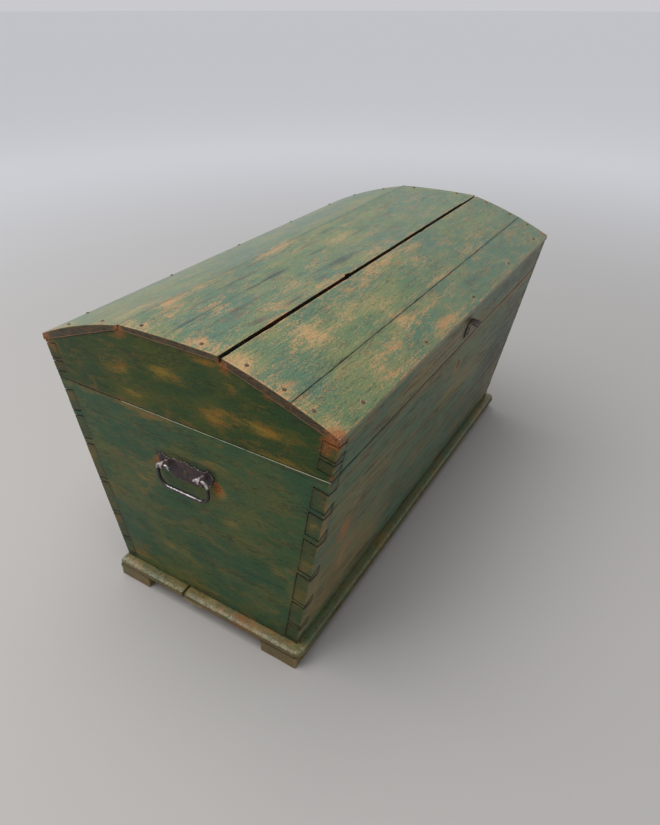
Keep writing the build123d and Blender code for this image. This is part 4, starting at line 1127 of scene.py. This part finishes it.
# %% [markdown]
# ## The ironwork
#
# Hinges, handles, lip and lock are forged iron, dark brown and purple, rubbed bright on their
# edges. Bare metal alone would look like new steel, so a rusty skin covers most of it, and only
# the rubbed places are metallic. Each imported piece is copied, its edges are broken, and hammer
# marks are pushed into it.
# Their bright edges are partly painted highlights, and the eyes are made pale all over as one.

# %% Iron finishes
IRON_RELIEF = 0.0005


def old_iron(name, dark, light, bright, rust, rubbing):
    """Forged iron with a skin of old rust, worn bright in spots and along its edges, with painted
    highlights.
    """
    rubbed, rough_low, rough_high = rubbing
    finish = Finish(name)
    blotch = finish.cloud((45.0, 45.0, 45.0), detail=4.0, rough=0.6, seed=3.0).between(0.35, 0.65)
    pits = finish.cloud((700.0, 700.0, 700.0), detail=3.0, rough=0.7, seed=8.0).between(0.35, 0.65)
    hammer = finish.cloud((130.0, 130.0, 130.0), detail=1.0, seed=5.0).between(0.3, 0.7)
    edge = finish.painted("open_edge")
    skin = finish.blend(colour(*dark), colour(*light), blotch * 0.6 + pits * 0.3)
    rusty = (blotch * 0.4 + hammer * 0.4 + pits * 0.25).between(0.55, 0.95)
    skin = finish.blend(skin, colour(*rust), rusty * 0.7)
    rubbed_and_highlit = (edge * 0.75 + hammer * 0.3 + pits * 0.2).between(rubbed, rubbed + 0.4)
    skin = finish.blend(skin, colour(*bright), rubbed_and_highlit * 0.8)
    finish.set(base_color=skin, metallic=0.25 + rubbed_and_highlit * 0.6)
    finish.set(roughness=rough_low + (1.0 - rubbed_and_highlit) * (rough_high - rough_low))
    finish.set(normal=finish.bump(hammer * 0.7 + pits * 0.3, IRON_RELIEF, 0.7))
    print("finish", name, "has", len(finish.tree.nodes), "nodes")
    return finish.material


# Each iron as its dark, light, bright and rusty colour, then the level from which it turns bright,
# and how rough it is where it is bright and where it isn't. The bright colour is worn metal and
# painted highlight; the eye iron is pale all over as a painted highlight, and the bail's bright
# colour paints the highlights on its grip, shoulders and tails.
IRON_RECIPES = {
    "plate_iron": ((40, 30, 32), (70, 56, 58), (176, 158, 156), (96, 56, 34), (0.5, 0.28, 0.5)),
    "eye_iron": ((132, 116, 112), (176, 160, 156), (204, 188, 184), (104, 70, 52), (0.4, 0.3, 0.42)),
    "lip_iron": ((40, 34, 32), (80, 70, 66), (170, 162, 154), (84, 54, 36), (0.62, 0.28, 0.5)),
    "dark_iron": ((34, 29, 28), (62, 54, 50), (150, 142, 136), (84, 54, 36), (0.8, 0.3, 0.55)),
    "nail_iron": ((66, 54, 44), (112, 92, 78), (128, 112, 98), (104, 74, 52), (0.9, 0.4, 0.6)),
    "bail_iron": ((30, 26, 28), (56, 50, 52), (214, 206, 206), (70, 46, 34), (0.45, 0.22, 0.34)),
}
irons = {name: old_iron(name, *recipe) for name, recipe in IRON_RECIPES.items()}

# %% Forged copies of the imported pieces
# In metres: how far edges are broken, how far their shine reaches, and how deep hammer marks go.
BROKEN_EDGE = 0.0005
EDGE_SHINE_REACH = 0.003
HAMMER_DEPTH = 0.0002
MARKS_A_METRE = 190.0
IRON_CREASE = 40


def forged_copy(node, body, iron, cell=0.004, rounds=0, width=1.0):
    """Replace a packed iron piece by a copy with broken edges and hammer marks."""
    shape = joined_copy(node)
    low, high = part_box(node)
    across = Matrix.Translation((0, -(low.y + high.y) / 2, 0))
    bmesh.ops.scale(shape, verts=shape.verts[:], vec=(1, width, 1), space=across)
    closed, exposed = arris_points(shape, node)
    tree = point_tree(closed + exposed)
    soften(shape, BROKEN_EDGE, BROKEN_EDGE)
    for axis in range(3):
        slice_shape(shape, axis, cell)
    for _ in range(rounds):
        bmesh.ops.smooth_vert(
            shape, verts=shape.verts[:], factor=0.5, use_axis_x=False, use_axis_y=True, use_axis_z=True
        )
    shape.normal_update()
    shine = []
    moves = []
    for vert in shape.verts:
        shine.append(max(0.0, 1.0 - tree.find(vert.co)[2] / EDGE_SHINE_REACH))
        mark = 0.5 + 0.5 * noise.noise(vert.co * MARKS_A_METRE)
        moves.append(vert.normal * (-HAMMER_DEPTH * mark))
    push_points(shape, moves)
    piece = new_piece("iron_" + node, shape, {"open_edge": shine}, IRON_CREASE)
    piece.data.materials.append(irons[iron])
    stand_in(piece, node, body)


for side in ("left", "right"):
    forged_copy(side + "_handle_plate", "chest", "plate_iron", rounds=2)
    for place in ("front", "rear"):
        forged_copy(side + "_handle_eye_" + place, "chest", "eye_iron", cell=0.003, width=0.6)
    forged_copy("hinge_leaf_body_" + side, "chest", "dark_iron")
    forged_copy("hinge_leaf_lid_" + side, "lid", "dark_iron")
    forged_copy("hinge_pin_" + side, "chest", "dark_iron")
forged_copy("lid_pull", "lid", "lip_iron", cell=0.003)
forged_copy("lock_case", "chest", "dark_iron", cell=0.006)
forged_copy("lock_staple", "lid", "dark_iron")
forged_copy("lock_bolt", "lock_bolt", "dark_iron")

# %% [markdown]
# ## The two bails
#
# Each handle is a round bar bent to a D. A curve could carry it, but a ring of edges that is
# extruded along the straights and spun round the bends keeps an even row of faces. The bar swells
# a little in the middle of its grip. Its ends pass through the eyes and turn down behind them.
# Its grip, shoulders and tails carry painted highlights.

# %% The size of a bail, as the imported one has it
BAIL_AXIS = Vector(joints["left_bail_hinge"]["pos_m"])
BAIL_LEG = 0.062
BAIL_TURN = 0.010
BAIL_CORNER = 0.022
BAIL_DROP = 0.051
BAIL_BAR = 0.0033
JOURNAL_END = 0.0395
# The tail turns down about a line this many radii of the bar below the axis, and narrows.
TAIL_REACH = 0.010
TAIL_TURN = math.radians(38)
TAIL_KNEE = 1.6
TAIL_TIP = 0.6
# Faces round the bar and along its straights and its tail.
BAR_SIDES = 20
GRIP_FACES = 10
LEG_FACES = 5
TAIL_FACES = 4
QUARTER = math.pi / 2
print("a bail hangs", BAIL_DROP, "m below its axis")

# %% Drawing out and bending the bar
def push_ring(shape, ring, move):
    """Extrude a ring of edges straight on, and give back the new ring."""
    made = bmesh.ops.extrude_edge_only(shape, edges=ring)["geom"]
    points = [item for item in made if isinstance(item, bmesh.types.BMVert)]
    bmesh.ops.translate(shape, verts=points, vec=move)
    return [item for item in made if isinstance(item, bmesh.types.BMEdge)]


def bend_ring(shape, ring, middle, angle, steps=8):
    """Spin a ring of edges round a bend, and give back the new ring."""
    made = bmesh.ops.spin(
        shape, geom=ring, cent=middle, axis=(1, 0, 0), angle=angle, steps=steps, use_duplicate=False
    )["geom_last"]
    return [item for item in made if isinstance(item, bmesh.types.BMEdge)]


def run_ring(shape, ring, move, count):
    """Extrude a ring straight on in several equal steps."""
    for _ in range(count):
        ring = push_ring(shape, ring, Vector(move) / count)
    return ring


def half_bail():
    """From the middle of the grip to the tail, for the half that lies towards +Y."""
    shape = bmesh.new()
    bmesh.ops.create_circle(shape, segments=BAR_SIDES, radius=BAIL_BAR)
    upright = Matrix.Rotation(QUARTER, 3, "X")
    bmesh.ops.rotate(shape, verts=shape.verts[:], cent=(0, 0, 0), matrix=upright)
    bmesh.ops.translate(shape, verts=shape.verts[:], vec=BAIL_AXIS + Vector((0, 0, -BAIL_DROP)))
    low = BAIL_AXIS + Vector((0, BAIL_LEG - BAIL_CORNER, BAIL_CORNER - BAIL_DROP))
    high = BAIL_AXIS + Vector((0, BAIL_LEG - BAIL_TURN, -BAIL_TURN))
    knee = BAIL_AXIS + Vector((0, JOURNAL_END, -BAIL_BAR * TAIL_KNEE))
    tail = Vector((0, -math.cos(TAIL_TURN), -math.sin(TAIL_TURN))) * TAIL_REACH
    ring = run_ring(shape, shape.edges[:], (0, BAIL_LEG - BAIL_CORNER, 0), GRIP_FACES)
    ring = bend_ring(shape, ring, low, QUARTER)
    ring = run_ring(shape, ring, (0, 0, BAIL_DROP - BAIL_CORNER - BAIL_TURN), LEG_FACES)
    ring = bend_ring(shape, ring, high, QUARTER)
    ring = run_ring(shape, ring, (0, JOURNAL_END - BAIL_LEG + BAIL_TURN, 0), TAIL_FACES)
    ring = bend_ring(shape, ring, knee, TAIL_TURN, steps=3)
    ring = run_ring(shape, ring, tail, TAIL_FACES)
    tip = {vert for edge in ring for vert in edge.verts}
    middle = sum((vert.co for vert in tip), Vector()) / len(tip)
    narrower = (TAIL_TIP, TAIL_TIP, TAIL_TIP)
    bmesh.ops.scale(shape, verts=list(tip), vec=narrower, space=Matrix.Translation(-middle))
    bmesh.ops.contextual_create(shape, geom=ring)
    return shape


def whole_bail(flip):
    """Both halves joined, and mirrored for the right end."""
    shape = half_bail()
    space = Matrix.Translation((0, -BAIL_AXIS.y, 0))
    everything = shape.verts[:] + shape.edges[:] + shape.faces[:]
    other = bmesh.ops.duplicate(shape, geom=everything)["geom"]
    points = [item for item in other if isinstance(item, bmesh.types.BMVert)]
    bmesh.ops.scale(shape, verts=points, vec=(1, -1, 1), space=space)
    if flip:
        bmesh.ops.scale(shape, verts=shape.verts[:], vec=(-1, 1, 1))
    bmesh.ops.remove_doubles(shape, verts=shape.verts[:], dist=1e-5)
    bmesh.ops.recalc_face_normals(shape, faces=shape.faces[:])
    shape.normal_update()
    return shape


print("a bail can be bent")

# %% Both bails
# In metres: how far the grip swells, how deep the hammer marks go, and, above the bail's lowest
# line, where the grip ends and the tails begin. BAR_MARKS is the number of marks in a metre.
GRIP_SWELL = 0.0009
BAR_MARK = 0.00025
GRIP_BAND = 0.012
TAIL_BAND = 0.02
BAR_MARKS = 150.0
# Painted highlights on the bar: how bright its front and rear tail, its shoulders, and the top of its
# grip are, the last narrowed down by UPPERMOST.
TAIL_SHINE = (0.95, 0.55)
SHOULDER_SHINE = 0.7
GRIP_SHINE = 0.7
UPPERMOST = 0.965


def bar_point(point, out):
    """How far a point of the bar moves outwards, and how strong its painted highlight is."""
    low = BAIL_AXIS.z - BAIL_DROP
    along = (point.y - BAIL_AXIS.y) / BAIL_LEG
    shoulder = point.z > BAIL_AXIS.z - BAIL_TURN
    grip = max(0.0, 1.0 - along * along) if point.z < low + GRIP_BAND else 0.0
    mark = noise.noise(point * BAR_MARKS) * BAR_MARK
    swell = GRIP_SWELL * grip + (-abs(mark) if shoulder else mark)
    if grip > 0.2 and out.z * 0.75 + abs(out.x) * 0.65 > UPPERMOST:
        return swell, GRIP_SHINE
    if abs(along) * BAIL_LEG < JOURNAL_END and point.z > low + TAIL_BAND:
        return swell, TAIL_SHINE[1] if along > 0 else TAIL_SHINE[0]
    return swell, SHOULDER_SHINE if shoulder else 0.0


for node in ("left_bail", "right_bail"):
    shape = whole_bail(flip=node == "right_bail")
    swells = [bar_point(vert.co, vert.normal) for vert in shape.verts]
    push_points(shape, [vert.normal * swell for vert, (swell, shine) in zip(shape.verts, swells)])
    # The bar stores its painted highlights where the other irons store how near a point is to an edge.
    piece = new_piece(node + "_bar", shape, {"open_edge": [shine for swell, shine in swells]})
    piece.data.materials.append(irons["bail_iron"])
    stand_in(piece, node, node)

# %% [markdown]
# ## The nails
#
# Forged nails hold the boards and the irons, and their heads are a dull brown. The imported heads
# already have flats as a hammer leaves them. They could be dented like the boards, but at their
# size that wouldn't show, so they stay as they are and only get their finish.

# %% Nails
NAIL_NODES = [name for name in frame["nodes"] if "nail" in name]
for name in NAIL_NODES:
    slots = frame["nodes"][name].data.materials
    if len(slots):
        slots[0] = irons["nail_iron"]
    else:
        slots.append(irons["nail_iron"])
print(len(NAIL_NODES), "sets of nails have their finish")

# %% [markdown]
# ## Floor and light
#
# The trunk stands on a plain pale floor. One wide lamp hangs above it, a little behind its near
# half, a small weak one stands off its near end, and the pale world fills the sides. A stronger
# lamp would model it more, but at this plain level each colour renders about as it is written.

# %% Floor
# In metres: the floor pales from FLOOR_NEAR to FLOOR_FAR, so that it is its own backdrop.
FLOOR_RADIUS = 90.0
FLOOR_NEAR = 0.9
FLOOR_FAR = 5.0
floor_shape = bmesh.new()
bmesh.ops.create_circle(floor_shape, cap_ends=True, radius=FLOOR_RADIUS, segments=64)
floor = new_piece("floor", floor_shape, {})
floor_finish = Finish("pale_floor")
settings = {"operation": "LENGTH"}
distance = floor_finish.node("ShaderNodeVectorMath", settings, {0: floor_finish.place()}, out=1)
far_off = distance.between(FLOOR_NEAR, FLOOR_FAR)
floor_finish.set(base_color=floor_finish.blend(colour(188, 184, 180), colour(206, 206, 208), far_off))
floor_finish.set(roughness=0.9, specular_ior_level=0.05, emission_strength=1.0)
floor_finish.set(emission_color=floor_finish.blend(colour(0, 0, 0), colour(146, 146, 150), far_off))
floor.data.materials.append(floor_finish.material)
print("the floor reaches", FLOOR_RADIUS, "m each way")

# %% Lamps
LAMP_AIM = Vector((0.0, 0.0, 0.3))


def soft_lamp(name, spot, width, watts):
    """A square lamp turned to the trunk."""
    data = bpy.data.lights.new(name, "AREA")
    data.shape = "SQUARE"
    data.size = width
    data.energy = watts
    lamp = bpy.data.objects.new(name, data)
    lamp.location = spot
    lamp.rotation_euler = (LAMP_AIM - Vector(spot)).to_track_quat("-Z", "Y").to_euler()
    bpy.context.scene.collection.objects.link(lamp)
    print("lamp", name, "gives", watts, "W")


soft_lamp("ceiling", (-0.5, 0.7, 3.6), width=3.6, watts=105.0)
soft_lamp("side", (-2.6, 1.2, 1.6), width=1.6, watts=10.0)

# %% A pale world
class Room(Finish):
    """The world under way, whose nodes are made as those of a finish are."""

    def __init__(self, name):
        self.world = bpy.data.worlds.new(name)
        self.world.use_nodes = True
        self.tree = self.world.node_tree
        self.shader = self.tree.nodes["Background"]


# The world lights softly, and looks brighter where the camera or a gloss meets it, so that the
# backdrop stays pale.
room = Room("pale_room")
room.set(color=colour(222, 226, 232), strength=0.52)
seen = room.node("ShaderNodeBackground", None, {"Color": colour(222, 222, 228), "Strength": 0.8})
looked_at = room.node("ShaderNodeLightPath", out="Is Camera Ray")
for kind in ("Is Glossy Ray", "Is Transmission Ray"):
    looked_at = looked_at.most(room.node("ShaderNodeLightPath", out=kind))
soft_light = Tone(room, room.shader.outputs[0])
choice = room.node("ShaderNodeMixShader", None, {0: looked_at, 1: soft_light, 2: seen})
room.feed(room.tree.nodes["World Output"].inputs["Surface"], choice)
bpy.context.scene.world = room.world
bpy.context.scene.view_settings.view_transform = "Standard"
print("the world has", len(room.tree.nodes), "nodes")
